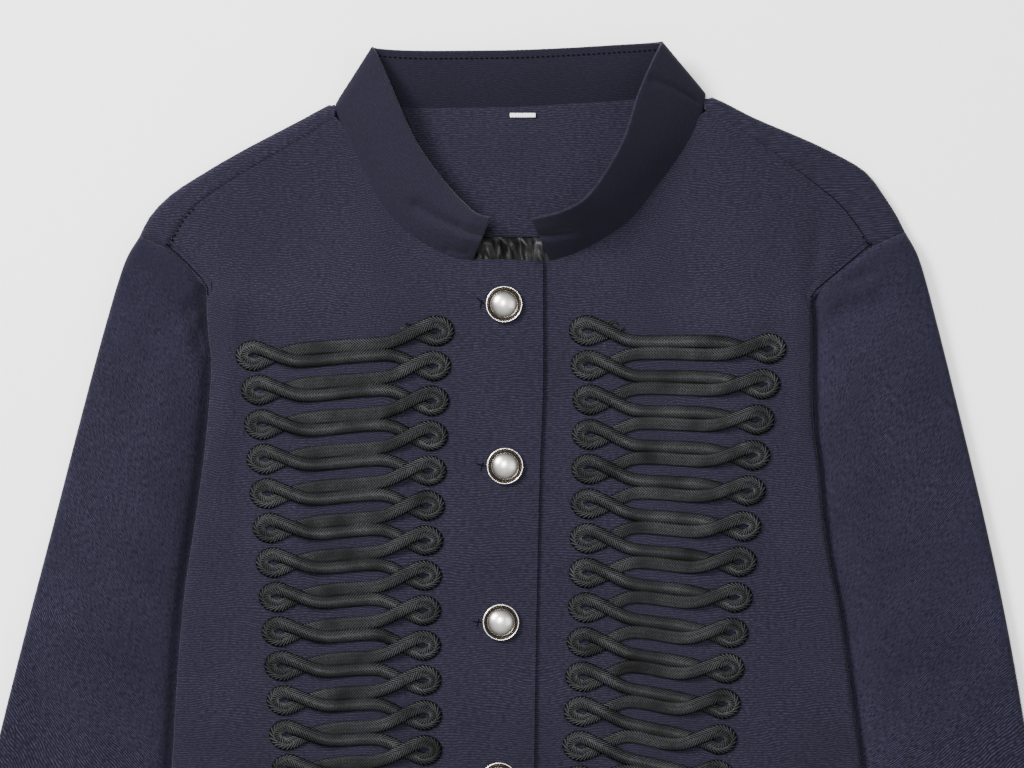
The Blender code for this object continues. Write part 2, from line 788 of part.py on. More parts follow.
def braid_points(side):
    """The braid's path down one front: out, y and lift, one row of loops after another."""
    outer_y, outer_step, inner_y, inner_step = BRAID_RISE[side]
    path = []

    def loop(centre, y, way):
        """Round a loop from its lower side to its upper side. way is 1 at the outer loops."""
        for angle in LOOP_ANGLES:
            turn = math.radians(angle)
            lift = BRAID_OVER * 0.45 if angle == LOOP_ANGLES[-1] else 0.0
            path.append((centre + way * LOOP_LONG * math.cos(turn), y + LOOP_HIGH * math.sin(turn), lift))

    for row in range(BRAID_ROWS):
        outer_edge, inner_edge = follow(BRAID_EDGES[side], row)
        y_inner, y_next = inner_y - inner_step * row, inner_y - inner_step * (row + 1)
        y_outer = outer_y - outer_step * row
        inner_centre = inner_edge + LOOP_EDGE + LOOP_LONG
        outer_centre = outer_edge - LOOP_EDGE - LOOP_LONG
        y_mid = (y_inner + y_next) / 2
        straight_in, straight_out = inner_centre + INNER_STRAIGHT, outer_centre - OUTER_STRAIGHT
        crossing_in, crossing_out = inner_centre + LOOP_TO_CROSSING, outer_centre - LOOP_TO_CROSSING
        if row == 0:
            path.append((crossing_in + 5.5, y_inner + 1.0, 0.0))
            path.append((crossing_in, y_inner - 0.6, 0.0))
        loop(inner_centre, y_inner, -1)
        path.append((inner_centre + 4.2, y_inner + 3.4, BRAID_OVER))
        path.append((crossing_in + 6.5, y_inner - 3.6, BRAID_OVER))
        path.append((straight_in, y_mid + STRAND_HALF, 0.0))
        path.append((straight_out, y_outer + STRAND_HALF, 0.0))
        path.append((crossing_out, y_outer, 0.0))
        loop(outer_centre, y_outer, 1)
        path.append((outer_centre - 4.2, y_outer + 3.4, BRAID_OVER))
        path.append((outer_centre - 20.8, y_outer - 3.1, BRAID_OVER))
        path.append((straight_out, y_outer - STRAND_HALF, 0.0))
        if row < BRAID_ROWS - 1:
            path.append((straight_in, y_mid - STRAND_HALF, 0.0))
            path.append((crossing_in, y_next + 0.2, 0.0))
        else:
            share = BRAID_TAIL / (straight_out - straight_in)
            path.append((straight_in + BRAID_TAIL, y_mid + (y_outer - y_mid) * share - STRAND_HALF, 0.0))
    return path


def add_braid(name, side, material, collection):
    path = braid_points(side)
    half, top_half = BRAID_WIDTH / 2, BRAID_WIDTH * 0.32
    section = [(-half, 0.0), (half, 0.0), (top_half, BRAID_THICK), (-top_half, BRAID_THICK)]
    last = len(path) - 1
    sides = len(section)
    centres = [Vector((out * side, y)) for out, y, _ in path]

    def place(i, j):
        j = j % sides
        into = (centres[i] - centres[i - 1]).normalized() if i else None
        onward = (centres[i + 1] - centres[i]).normalized() if i < last else None
        if into is None or onward is None:
            along, stretch = into or onward, 1.0
        else:
            along = (into + onward).normalized()
            stretch = 1.0 / max(along.dot(onward), 0.8)
        beside = Vector((-along.y, along.x)) * stretch
        wide, high = section[j]
        spot = centres[i] + beside * wide
        base = front_height(side, centres[i].x, centres[i].y) + CLOTH / 2 + SEAM_GAP
        return Vector((spot.x, spot.y, base + path[i][2] + high))

    mesh = grid_mesh(name, range(last + 1), range(sides + 1), place, weld=True, cap=True)
    return add_object(name, mesh, material, collection)


def add_button(name, x, y, material, collection):
    """A domed metal button with a raised rim, turned round its own middle."""
    shape = bmesh.new()
    base = front_height(RIGHT, x, y) + CLOTH / 2 + SEAM_GAP
    profile = [shape.verts.new((radius * MM, 0.0, height * MM)) for radius, height in BUTTON_PROFILE]
    for before, after in zip(profile, profile[1:]):
        shape.edges.new((before, after))
    bmesh.ops.spin(
        shape,
        geom=shape.verts[:] + shape.edges[:],
        cent=(0, 0, 0),
        axis=(0, 0, 1),
        angle=2 * math.pi,
        steps=12,
    )
    bmesh.ops.remove_doubles(shape, verts=shape.verts, dist=0.00001)
    bmesh.ops.holes_fill(shape, edges=[edge for edge in shape.edges if edge.is_boundary])
    bmesh.ops.recalc_face_normals(shape, faces=shape.faces)
    mesh = bpy.data.meshes.new(name)
    shape.to_mesh(mesh)
    shape.free()
    thing = add_object(name, mesh, material, collection)
    thing.location = (x * MM, y * MM, base * MM)
    return thing


def add_label(material, collection):
    shape = bmesh.new()
    bmesh.ops.create_cube(shape, size=MM)
    bmesh.ops.scale(shape, vec=(LABEL["width"], LABEL["height"], LABEL["thickness"]), verts=shape.verts)
    mesh = bpy.data.meshes.new("label")
    shape.to_mesh(mesh)
    shape.free()
    thing = add_object("label", mesh, material, collection)
    height = FACING_HEIGHT + FACING_WALL / 2 + SEAM_GAP + LABEL["thickness"] / 2
    thing.location = (LABEL["x"] * MM, LABEL["y"] * MM, height * MM)
    return thing


def build():
    for thing in list(bpy.data.objects):
        bpy.data.objects.remove(thing, do_unlink=True)
    collection = bpy.data.collections.new(COLLECTION)
    bpy.context.scene.collection.children.link(collection)
    navy, lining, braid, silver, label = (make_material(name) for name in COLOURS)
    add_cloth("back", back_patch(), CLOTH, navy, collection)
    add_cloth("front_right", front_patch(RIGHT), CLOTH, navy, collection)
    add_cloth("front_left", front_patch(LEFT), CLOTH, navy, collection)
    add_cloth("sleeve_right", sleeve_patch(RIGHT), CLOTH, navy, collection, weld=True)
    add_cloth("sleeve_left", sleeve_patch(LEFT), CLOTH, navy, collection, weld=True)
    add_cloth("collar", (collar_patch(), even(len(COLLAR) - 1), COLLAR_ROWS), COLLAR_WALL, navy, collection)
    add_cloth("back_neck_facing", (facing_patch, even(8), even(2)), FACING_WALL, navy, collection)
    add_cloth("lining", (lining_patch, even(6), even(1)), LINING_WALL, lining, collection)
    add_label(label, collection)
    for number, (x, y) in enumerate(BUTTONS, 1):
        add_button(f"button_{number}", x, y, silver, collection)
    add_braid("braid_right", RIGHT, braid, collection)
    add_braid("braid_left", LEFT, braid, collection)


build()
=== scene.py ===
"""A short military coat in navy ribbed cloth, laid flat with its front up.

+Y points to the collar and +X to the wearer's left. Tables are in millimetres, and a column called "out"
is a distance from the middle line.
"""

import math

import bmesh
import bpy
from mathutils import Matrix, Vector, noise


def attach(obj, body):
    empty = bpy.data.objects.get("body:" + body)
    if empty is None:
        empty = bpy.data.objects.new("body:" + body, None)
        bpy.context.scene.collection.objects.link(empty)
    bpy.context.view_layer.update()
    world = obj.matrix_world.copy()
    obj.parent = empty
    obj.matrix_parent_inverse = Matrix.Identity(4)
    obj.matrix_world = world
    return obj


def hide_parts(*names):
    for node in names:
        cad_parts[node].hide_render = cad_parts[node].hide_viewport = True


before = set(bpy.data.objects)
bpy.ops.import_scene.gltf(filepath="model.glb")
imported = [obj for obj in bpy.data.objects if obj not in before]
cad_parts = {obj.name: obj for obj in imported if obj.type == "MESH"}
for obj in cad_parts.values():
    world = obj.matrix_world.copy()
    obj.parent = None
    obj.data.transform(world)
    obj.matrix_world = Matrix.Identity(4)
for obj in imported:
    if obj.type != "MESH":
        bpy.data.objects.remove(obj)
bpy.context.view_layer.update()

MM = 0.001

# Thickness of each wall, and the gaps at seams
CLOTH = 1.6
COLLAR_WALL = 2.0
FACING_WALL = 1.2
LINING_WALL = 0.3
TAPE_WALL = 0.5
# Below zero, so that panels meet under each seam
SEAM_GAP = -0.7
UNDER_GAP = 0.8
# How far each front's neck edge runs on to the collar
NECK_REACH = 2.0

# Heights of the middle of each wall above the surface
FLOOR = CLOTH / 2
SLEEVE_TOP = 6.2
SLEEVE_TUCKED = 3.4
BODY = 5.4
BODY_OVER_SLEEVE = 8.5
LIP_OVER_SLEEVE = 5.7
FRONT_TOP_LAP = 6.6
FRONT_UNDER_LAP = 4.4
SHOULDER_ROLL = (SLEEVE_TOP - FLOOR) / 2
FACING_HEIGHT = 2.6
LINING_HEIGHT = 2.5

# Where the fronts lap. The wearer's right front is on top.
LAP_EDGE = [(240.0, 15.1), (170.0, 15.1), (126.0, 13.5), (47.0, 11.6), (-37.0, 10.3), (-326.0, 7.0)]  # y, x
UNDER_EDGE_X = -28.0
LAP_RAMP = 42.0
SIDE_RAMP_START = 45.0
SIDE_RAMP_END = 130.0

# The turned-under side of each front
TURN_COLUMNS = 4
LIP_COLUMNS = 3
TURN_NOMINAL = 5.0
FOLD_GROWS = 14.0
LIP_DROP = 8.0
LIP_DROP_START = 3.0
# The rows of a front down its side, below the start of its fold and then by height
FOLD_DROPS = [2.4, 4.8, 7.2, 10.0, 14.5, 26.0]
SIDE_ROWS = [160.0, 110.0, 72.0, 56.0, 46.0, 22.0, -36.7, -130.0, -190.0, -226.0, -258.0, -324.0]

RIGHT = -1
LEFT = 1

# The armhole seam from the top of the shoulder to the underarm: out, y
ARMHOLE = {
    RIGHT: [
        (202.5, 249.5), (194.9, 245.2), (187.9, 242.5), (178.7, 234.4), (167.9, 223.6),
        (162.0, 215.5), (151.0, 199.0), (142.0, 166.0), (137.0, 131.0), (131.0, 99.0), (120.0, 72.0),
        (105.3, 55.0),
    ],
    LEFT: [
        (210.6, 251.6), (202.0, 247.8), (192.8, 243.3), (179.3, 232.7), (161.5, 218.2),
        (156.5, 210.5), (149.0, 196.0), (142.0, 165.0), (137.0, 131.0), (131.0, 99.0), (120.0, 72.0),
        (106.0, 55.0),
    ],
}

# The side fold of the body over the sleeve: y, out
SIDE_FOLD = {
    RIGHT: [
        (240.0, 170.0), (223.6, 166.6), (197.0, 164.6), (183.6, 163.0), (158.8, 164.4),
        (132.0, 167.0), (95.0, 172.0), (59.0, 177.4), (18.4, 181.0), (-36.7, 184.4), (-324.0, 205.0),
    ],
    LEFT: [
        (240.0, 164.0), (217.0, 159.8), (199.8, 159.7), (151.2, 160.2), (125.3, 163.3), (99.4, 165.7),
        (76.1, 169.0), (47.0, 174.8), (21.9, 178.3), (-36.7, 186.5), (-324.0, 222.3),
    ],
}
FOLD_START_Y = {RIGHT: 223.6, LEFT: 218.2}
# Where the wearer's right sleeve comes out from under the body near the hem: y of the start and the end
SLEEVE_CLEAR = (-258.0, -324.0)

# The side seam under the body, from the underarm to the hem: y, out
SIDE_SEAM = {
    RIGHT: [(46.0, 99.0), (22.0, 104.0), (-36.7, 119.0), (-130.0, 140.0), (-258.0, 168.5), (-324.0, 183.6)],
    LEFT: [(46.0, 99.5), (22.0, 104.5), (-36.7, 120.0), (-130.0, 144.0), (-258.0, 180.0), (-324.0, 200.0)],
}

# The sleeve's outer and inner edge, from the armhole to the cuff: out and y of each edge
SLEEVE = {
    RIGHT: [
        (202.5, 249.5, 105.3, 55.0), (210.5, 235.0, 107.0, 44.0), (220.9, 200.9, 110.0, 30.0),
        (234.0, 152.0, 116.0, 11.0), (248.9, 94.0, 124.0, -14.0), (264.0, 36.0, 133.0, -40.0),
        (283.0, -41.0, 146.0, -72.0), (315.0, -182.0, 188.0, -211.0), (347.2, -322.4, 231.1, -351.5),
    ],
    LEFT: [
        (210.6, 251.6, 106.0, 55.0), (218.2, 236.5, 107.5, 44.0), (227.9, 200.9, 110.5, 30.0),
        (240.0, 152.0, 116.5, 10.0), (253.8, 94.0, 124.5, -14.0), (266.0, 36.0, 133.5, -40.0),
        (279.7, -41.0, 146.0, -72.0), (306.5, -182.0, 181.0, -210.0), (333.0, -325.0, 216.0, -350.0),
    ],
}

# The back rolls over each shoulder to a seam on the front: out and y of the fold, out and y of the seam
SHOULDER = {
    RIGHT: [
        (202.5, 249.5, 188.2, 242.5), (197.1, 260.3, 183.5, 251.5), (185.8, 272.2, 176.5, 262.5),
        (167.9, 284.0, 160.5, 275.3), (147.4, 295.9, 142.0, 287.0), (124.7, 307.8, 120.0, 300.0),
        (112.3, 314.3, 107.5, 307.5), (100.4, 320.8, 96.7, 314.3),
    ],
    LEFT: [
        (210.6, 251.6, 192.8, 243.3), (206.3, 260.3, 187.5, 250.8), (198.7, 272.2, 181.0, 260.0),
        (189.0, 284.8, 173.0, 269.0), (170.1, 295.9, 158.5, 280.8), (148.0, 305.8, 141.0, 294.0),
        (128.0, 314.3, 123.5, 306.0), (106.5, 325.0, 103.0, 317.9),
    ],
}

# The back's neck edge between the shoulders: x, y and the share of the shoulder roll that is left there
BACK_NECK = [
    (-97.5, 318.0, 0.75), (-95.6, 318.4, 0.45), (-92.0, 319.4, 0.16), (-84.0, 320.2, 0.0),
    (-73.0, 319.2, 0.0), (-58.9, 317.8, 0.0), (-30.0, 317.9, 0.0), (0.0, 318.3, 0.0),
    (32.4, 320.1, 0.0), (64.3, 322.2, 0.0), (80.0, 324.0, 0.0), (91.0, 324.2, 0.0),
    (96.8, 323.0, 0.16), (100.4, 321.9, 0.45), (102.6, 321.2, 0.75),
]

# The neck edge of each front, from the lap to the shoulder seam: x, y
FRONT_NECK = {
    RIGHT: [
        (15.1, 235.3), (-5.0, 235.9), (-22.7, 236.2), (-33.5, 237.8), (-43.2, 242.0), (-59.9, 252.4),
        (-73.4, 267.6), (-84.8, 289.6), (-92.3, 305.5), (-96.7, 314.3),
    ],
    LEFT: [
        (-28.0, 233.6), (0.0, 234.3), (18.7, 235.8), (32.4, 240.0), (46.2, 246.8), (64.3, 259.4),
        (77.8, 276.2), (90.2, 294.0), (98.2, 309.0), (103.0, 317.9),
    ],
}

# The band collar, round the neck from the wearer's right: seam x and y, top x and y, rise, seam height.
# A seam height of 0 means that the collar stands on the front there.
COLLAR = [
    (-22.7, 237.6, -13.5, 260.3, 17.0, 0.0), (-33.5, 239.3, -21.5, 263.0, 16.5, 0.0),
    (-46.0, 245.2, -27.0, 268.0, 15.0, 0.0), (-59.2, 253.9, -34.0, 275.3, 13.0, 0.0),
    (-72.5, 268.8, -44.5, 288.3, 12.0, 0.0), (-83.7, 290.3, -54.6, 304.0, 12.0, 0.0),
    (-91.2, 306.5, -62.6, 321.5, 12.4, 0.0), (-94.6, 316.0, -69.5, 337.8, 12.4, 0.0),
    (-95.6, 319.8, -75.0, 349.6, 12.2, 5.7), (-95.0, 323.2, -76.6, 352.2, 11.9, 4.2),
    (-90.0, 323.4, -73.6, 351.6, 11.9, 2.6), (-76.0, 320.9, -64.0, 350.9, 12.0, 1.5),
    (-58.0, 318.2, -49.0, 350.5, 12.0, 1.3), (-29.5, 318.3, -25.0, 350.6, 12.0, 1.3),
    (0.0, 318.7, 2.0, 351.0, 12.0, 1.3), (32.4, 320.5, 30.0, 352.2, 12.0, 1.3),
    (64.3, 322.6, 57.0, 353.8, 12.0, 1.3), (82.0, 325.0, 68.5, 354.4, 12.3, 1.5),
    (96.0, 328.4, 76.4, 354.8, 13.6, 2.7), (101.2, 328.2, 79.0, 354.9, 15.4, 4.2),
    (101.4, 324.8, 77.6, 351.6, 17.2, 5.7), (100.0, 318.0, 72.6, 341.4, 19.0, 0.0),
    (96.4, 307.6, 66.0, 325.4, 21.0, 0.0), (88.8, 294.3, 59.2, 304.0, 22.5, 0.0),
    (76.4, 277.2, 48.0, 283.9, 23.5, 0.0), (63.2, 260.7, 37.4, 270.7, 24.5, 0.0),
    (45.6, 248.2, 25.4, 264.1, 24.5, 0.0), (31.8, 241.3, 16.0, 261.5, 22.5, 0.0),
    (18.7, 237.3, 9.1, 260.0, 20.0, 0.0),
]

# Facing inside the back neck and the lining under it
FACING_HALF = 76.0
FACING_LOW_Y = 250.0
LINING_HALF = 48.0
LINING_LOW_Y = 208.0
LABEL = {"x": 4.2, "y": 315.9, "width": 13.8, "height": 2.2, "thickness": 1.0}

# Front hem of each side: out, y, from the lap to the fold
HEM = [(0.0, -333.7), (60.0, -333.0), (120.0, -330.5), (205.0, -324.0)]

# Buttons: x, y
BUTTONS = [(-5.9, 213.7), (-5.4, 126.4), (-7.6, 42.1), (-8.6, -43.2), (-9.7, -128.5), (-10.8, -213.8)]

# Braid: flat plaited cord in rows of loops down each front
BRAID_OVER = 2.1
BRAID_ROWS = 16
LOOP_LONG = 7.0
LOOP_HIGH = 4.9
LOOP_EDGE = 3.2
LOOP_TO_CROSSING = 11.3
OUTER_STRAIGHT = 24.5
INNER_STRAIGHT = 21.5
STRAND_HALF = 3.45
BRAID_TAIL = 6.0
LOOP_ANGLES = (-90, -50, -17, 17, 50, 90)
# Rows by number: outer loop's edge, inner loop's edge
BRAID_EDGES = {
    RIGHT: [
        (0, 150.7, 32.8), (1, 147.7, 34.6), (3, 144.7, 36.2),
        (8, 136.6, 40.0), (12, 131.3, 39.4), (18, 123.5, 41.0),
    ],
    LEFT: [
        (0, 146.2, 29.1), (1, 142.9, 30.1), (2, 139.9, 31.0),
        (8, 125.8, 28.6), (12, 118.0, 25.6), (18, 111.0, 23.0),
    ],
}
# The first loops' heights and their steps: outer y, outer step, inner y, inner step
BRAID_RISE = {RIGHT: (186.0, 18.58, 199.3, 18.84), LEFT: (189.8, 19.15, 199.5, 18.68)}


def soften(share):
    """0 to 1 with level ends."""
    share = min(max(share, 0.0), 1.0)
    return share * share * (3.0 - 2.0 * share)


def ramp(share, corner=0.2):
    """0 to 1 in a straight line with rounded corners."""
    share = min(max(share, 0.0), 1.0)
    rest = 1.0 - corner
    if share < corner:
        return share * share / (2.0 * corner * rest)
    if share > rest:
        return 1.0 - (1.0 - share) ** 2 / (2.0 * corner * rest)
    return (share - corner / 2.0) / rest


def follow(rows, key):
    """The values at a key in rows of (key, value, ...), on a smooth curve through the rows."""
    if rows[0][0] > rows[-1][0]:
        rows = rows[::-1]
    key = min(max(key, rows[0][0]), rows[-1][0])
    last = len(rows) - 1
    i = 0
    while i < last - 1 and key > rows[i + 1][0]:
        i += 1
    step = rows[i + 1][0] - rows[i][0]
    share = (key - rows[i][0]) / step
    before, after = max(i - 1, 0), min(i + 2, last)
    values = []
    for column in range(1, len(rows[0])):
        start, end = rows[i][column], rows[i + 1][column]
        slope_in = (end - rows[before][column]) / (rows[i + 1][0] - rows[before][0]) * step
        slope_out = (rows[after][column] - start) / (rows[after][0] - rows[i][0]) * step
        a, b = share * share, share * share * share
        value = (2 * b - 3 * a + 1) * start + (b - 2 * a + share) * slope_in
        values.append(value + (3 * a - 2 * b) * end + (b - a) * slope_out)
    return values


def by_length(points):
    """Rows of (share of the length, coordinates) for a line through points."""
    lengths = [0.0]
    for before, after in zip(points, points[1:]):
        lengths.append(lengths[-1] + math.dist(before[:2], after[:2]))
    return [(length / lengths[-1], *point) for length, point in zip(lengths, points)]


def by_number(points):
    """Rows of (share of the count, coordinates)."""
    return [(i / (len(points) - 1), *point) for i, point in enumerate(points)]


def lap_edge(y):
    return follow(LAP_EDGE, y)[0]


def fold_out(side, y):
    return follow(SIDE_FOLD[side], y)[0]


def tucked(side, y):
    """1 where the body's side lies over the sleeve, 0 above the start of the fold."""
    return soften((FOLD_START_Y[side] + 6.0 - y) / 9.0)


def over_sleeve(side, y):
    """1 where the body's side is held up by the sleeve under it, 0 at the hem on the wearer's right."""
    if side == LEFT:
        return 1.0
    return soften((y - SLEEVE_CLEAR[1]) / (SLEEVE_CLEAR[0] - SLEEVE_CLEAR[1]))


def lip_height(side, y):
    return FLOOR + (LIP_OVER_SLEEVE - FLOOR) * over_sleeve(side, y)


def side_height(side, y):
    """Height of the front at its side fold, or at the armhole above the fold."""
    above = soften((y - FOLD_START_Y[side] + 8.0) / 10.0)
    low = BODY + (BODY_OVER_SLEEVE - BODY) * over_sleeve(side, y)
    return low + (SLEEVE_TOP - low) * above


def front_height(side, x, y):
    """Height of the middle of a front's wall over the surface."""
    out = x * side
    share = (out - SIDE_RAMP_START) / (SIDE_RAMP_END - SIDE_RAMP_START)
    height = BODY + (side_height(side, y) - BODY) * ramp(share)
    if side == RIGHT:
        lap = FRONT_TOP_LAP - BODY
        return height + lap * (1.0 - soften((-x + UNDER_EDGE_X) / LAP_RAMP))
    lap = FRONT_UNDER_LAP - BODY
    return height + lap * (1.0 - soften((x - 20.0) / LAP_RAMP))


def sleeve_inner_edge(side, y):
    """Distance from the middle line of the edge of the sleeve that lies under the body."""
    rows = [(row[1], row[0]) for row in ARMHOLE[side]]
    rows += [(row[3], row[2]) for row in SLEEVE[side][1:]]
    return follow(rows, y)[0]


def lip_end(side, y):
    """Distance from the middle line of the seam where the front's turned-under side ends."""
    rows = [(row[1], row[0]) for row in ARMHOLE[side][3:]]
    rows += SIDE_SEAM[side]
    return follow(rows, y)[0]


def turned_side(side, y):
    """A front's turned-under side at y: its roll's start and radius, and the lengths of roll and lip."""
    radius = (side_height(side, y) - lip_height(side, y)) / 2
    start = fold_out(side, y) - radius
    lip = max(start - lip_end(side, y), 1.0)
    return start, radius, math.pi * radius, lip


def turn_under(side, past, y):
    """A point of a front's side, past the start of its roll by a length of cloth."""
    start, radius, arc, _ = turned_side(side, y)
    top = side_height(side, y)
    if past < arc:
        angle = past / radius
        out = start + radius * math.sin(angle)
        return Vector((out * side, y, top - radius + radius * math.cos(angle)))
    out = start - (past - arc)
    beyond = sleeve_inner_edge(side, y) - out - LIP_DROP_START
    height = FLOOR + (lip_height(side, y) - FLOOR) * (1.0 - soften(beyond / LIP_DROP))
    return Vector((out * side, y, height))


def shifted(points, distance):
    """A line moved sideways, to the left of its direction."""
    moved = []
    for i, point in enumerate(points):
        before, after = Vector(points[max(i - 1, 0)]), Vector(points[min(i + 1, len(points) - 1)])
        way = (after - before).normalized()
        moved.append((point[0] - way.y * distance, point[1] + way.x * distance))
    return moved


def patch_between(top, low, inner, outer):
    """A function from shares across and down to a point of a sheet that four lines bound."""
    corners = [Vector(top(0.0)), Vector(top(1.0)), Vector(low(0.0)), Vector(low(1.0))]

    def place(across, down):
        spot = Vector(top(across)).lerp(Vector(low(across)), down)
        spot += (Vector(inner(down)) - corners[0].lerp(corners[2], down)) * (1 - across) ** 2
        spot += (Vector(outer(down)) - corners[1].lerp(corners[3], down)) * across**2
        return spot

    return place


def front_lines(side):
    """A front's top edge and its side, as rows of (share of the length, x, y)."""
    seam = [(row[2] * side, row[3]) for row in reversed(SHOULDER[side])]
    seam = shifted(seam, SEAM_GAP / 2 * -side)
    neck = shifted(FRONT_NECK[side], NECK_REACH * side)
    top = by_length([*neck[:-1], *seam])
    armhole = shifted([(out * side, y) for out, y in ARMHOLE[side]], SEAM_GAP / 2 * -side)
    line = [top[-1][1:], *armhole[3:5]]
    heights = [FOLD_START_Y[side] - drop for drop in FOLD_DROPS] + SIDE_ROWS
    line += [(turned_side(side, y)[0] * side, y) for y in heights]
    return top, by_length(line)


def front_patch(side):
    """A function from shares across and down to a point of a front, and its columns and rows as shares."""
    top, down = front_lines(side)
    start_y = top[0][2]

    def inner(share):
        y = start_y + (hem_height(0.0) - start_y) * share
        return (lap_edge(y) if side == RIGHT else UNDER_EDGE_X, y)

    def low(share):
        x = inner(1.0)[0] + (down[-1][1] - inner(1.0)[0]) * share
        return (x, hem_height(x))

    flat = patch_between(lambda share: follow(top, share), low, inner, lambda share: follow(down, share))

    def place(across, share):
        """across is a share of the flat width up to 1, then 1 and the number of a turned column."""
        edge = flat(1.0, share)
        width = abs(edge.x - flat(0.0, share).x)
        start, _, arc, lip = turned_side(side, edge.y)
        whole = (arc + lip) * soften((FOLD_START_Y[side] - edge.y) / FOLD_GROWS)
        length = max(whole, TURN_NOMINAL)
        back = length - whole
        if across < 1.0:
            spot = flat(across, share)
            return Vector((spot.x, spot.y, front_height(side, spot.x, spot.y)))
        number = across - 1.0
        if number <= TURN_COLUMNS:
            part = arc * number / TURN_COLUMNS
        else:
            level = start - sleeve_inner_edge(side, edge.y)
            level = min(max(level, 1.5), lip - min(4.0, lip * 0.3))
            sunk = min(level + LIP_DROP_START + LIP_DROP, (level + lip) / 2)
            part = arc + (level, sunk, lip)[int(number) - TURN_COLUMNS - 1]
        past = part / (arc + lip) * length - back
        if past <= 0.0:
            spot = flat(1.0 + past / width, share)
            return Vector((spot.x, spot.y, front_height(side, spot.x, spot.y)))
        return turn_under(side, past, edge.y)

    return place, [row[0] for row in top], [row[0] for row in down]


def hem_height(x):
    return follow(HEM, abs(x))[0]


def back_columns():
    """The back's top edge from the wearer's right: fold x and y, seam x and y, share of the roll."""
    rows = [(-row[0], row[1], -row[2], row[3], 1.0) for row in SHOULDER[RIGHT]]
    for x, y, share in BACK_NECK:
        rows.append((x, y + SHOULDER_ROLL + 1.2 * (1.0 - share), x, y - 4.0, share))
    rows += [(row[0], row[1], row[2], row[3], 1.0) for row in reversed(SHOULDER[LEFT])]
    return rows


def back_sides(begin_right, begin_left):
    """The back's two side edges on the surface, from the shoulder fold to the hem, with shared keys."""
    lines = []
    for side, begin in ((RIGHT, begin_right), (LEFT, begin_left)):
        line = [(out * side, y) for out, y in ARMHOLE[side]]
        line += [(out * side, y) for y, out in SIDE_SEAM[side]]
        moved = shifted(line, UNDER_GAP * -side)
        lines.append(by_length([tuple(begin), *moved[1:]]))
    right, left = lines
    keys = [(a[0] + b[0]) / 2 for a, b in zip(right, left)]
    return [[(key, *row[1:]) for key, row in zip(keys, line)] for line in lines]


def back_patch():
    """A function from a share across and a row to a point of the back, and its columns and rows."""
    edge_rows = by_length(back_columns())

    def turn(across):
        """Where the shoulder's roll starts, its way, the length past it and the share that is left."""
        fold_x, fold_y, seam_x, seam_y, share = follow(edge_rows, across)
        fold, seam = Vector((fold_x, fold_y)), Vector((seam_x, seam_y))
        way = (fold - seam).normalized()
        begin = fold - way * SHOULDER_ROLL
        run = max((begin - seam).length - SEAM_GAP / 2, 0.5)
        return begin, way, run, min(max(share, 0.0), 1.0)

    right, left = back_sides(turn(0.0)[0], turn(1.0)[0])
    spread = [(row[0], i / (len(edge_rows) - 1)) for i, row in enumerate(edge_rows)]

    def low(share):
        x = right[-1][1] + (left[-1][1] - right[-1][1]) * follow(spread, share)[0]
        return (x, hem_height(x))

    flat = patch_between(
        lambda share: turn(share)[0],
        low,
        lambda share: follow(right, share),
        lambda share: follow(left, share),
    )

    def on_floor(across, down):
        spot = flat(across, down)
        return Vector((spot.x, spot.y, FLOOR))

    def place(across, row):
        """row is a share of the flat cloth, or minus the share of the roll that is left before its end."""
        begin, way, run, share = turn(across)
        arc = math.pi * SHOULDER_ROLL
        if row > 0.0:
            spare = max(0.0, 1.0 - share) * (run + arc)
            whole = (begin - flat(across, 1.0)).length
            return on_floor(across, row + spare / whole * (1.0 - row) ** 2)
        along = (run + arc) * (share + row)
        if along <= 0.0:
            return on_floor(across, -along / (begin - flat(across, 1.0)).length)
        if along < arc:
            angle = along / SHOULDER_ROLL
            spot = begin + way * SHOULDER_ROLL * math.sin(angle)
            return Vector((spot.x, spot.y, FLOOR + SHOULDER_ROLL * (1.0 - math.cos(angle))))
        spot = begin - way * (along - arc)
        height = front_height(LEFT if spot.x > 0 else RIGHT, spot.x, spot.y)
        return Vector((spot.x, spot.y, SLEEVE_TOP + (height - SLEEVE_TOP) * (along - arc) / run))

    return place, [row[0] for row in edge_rows], [row[0] for row in right[1:]]


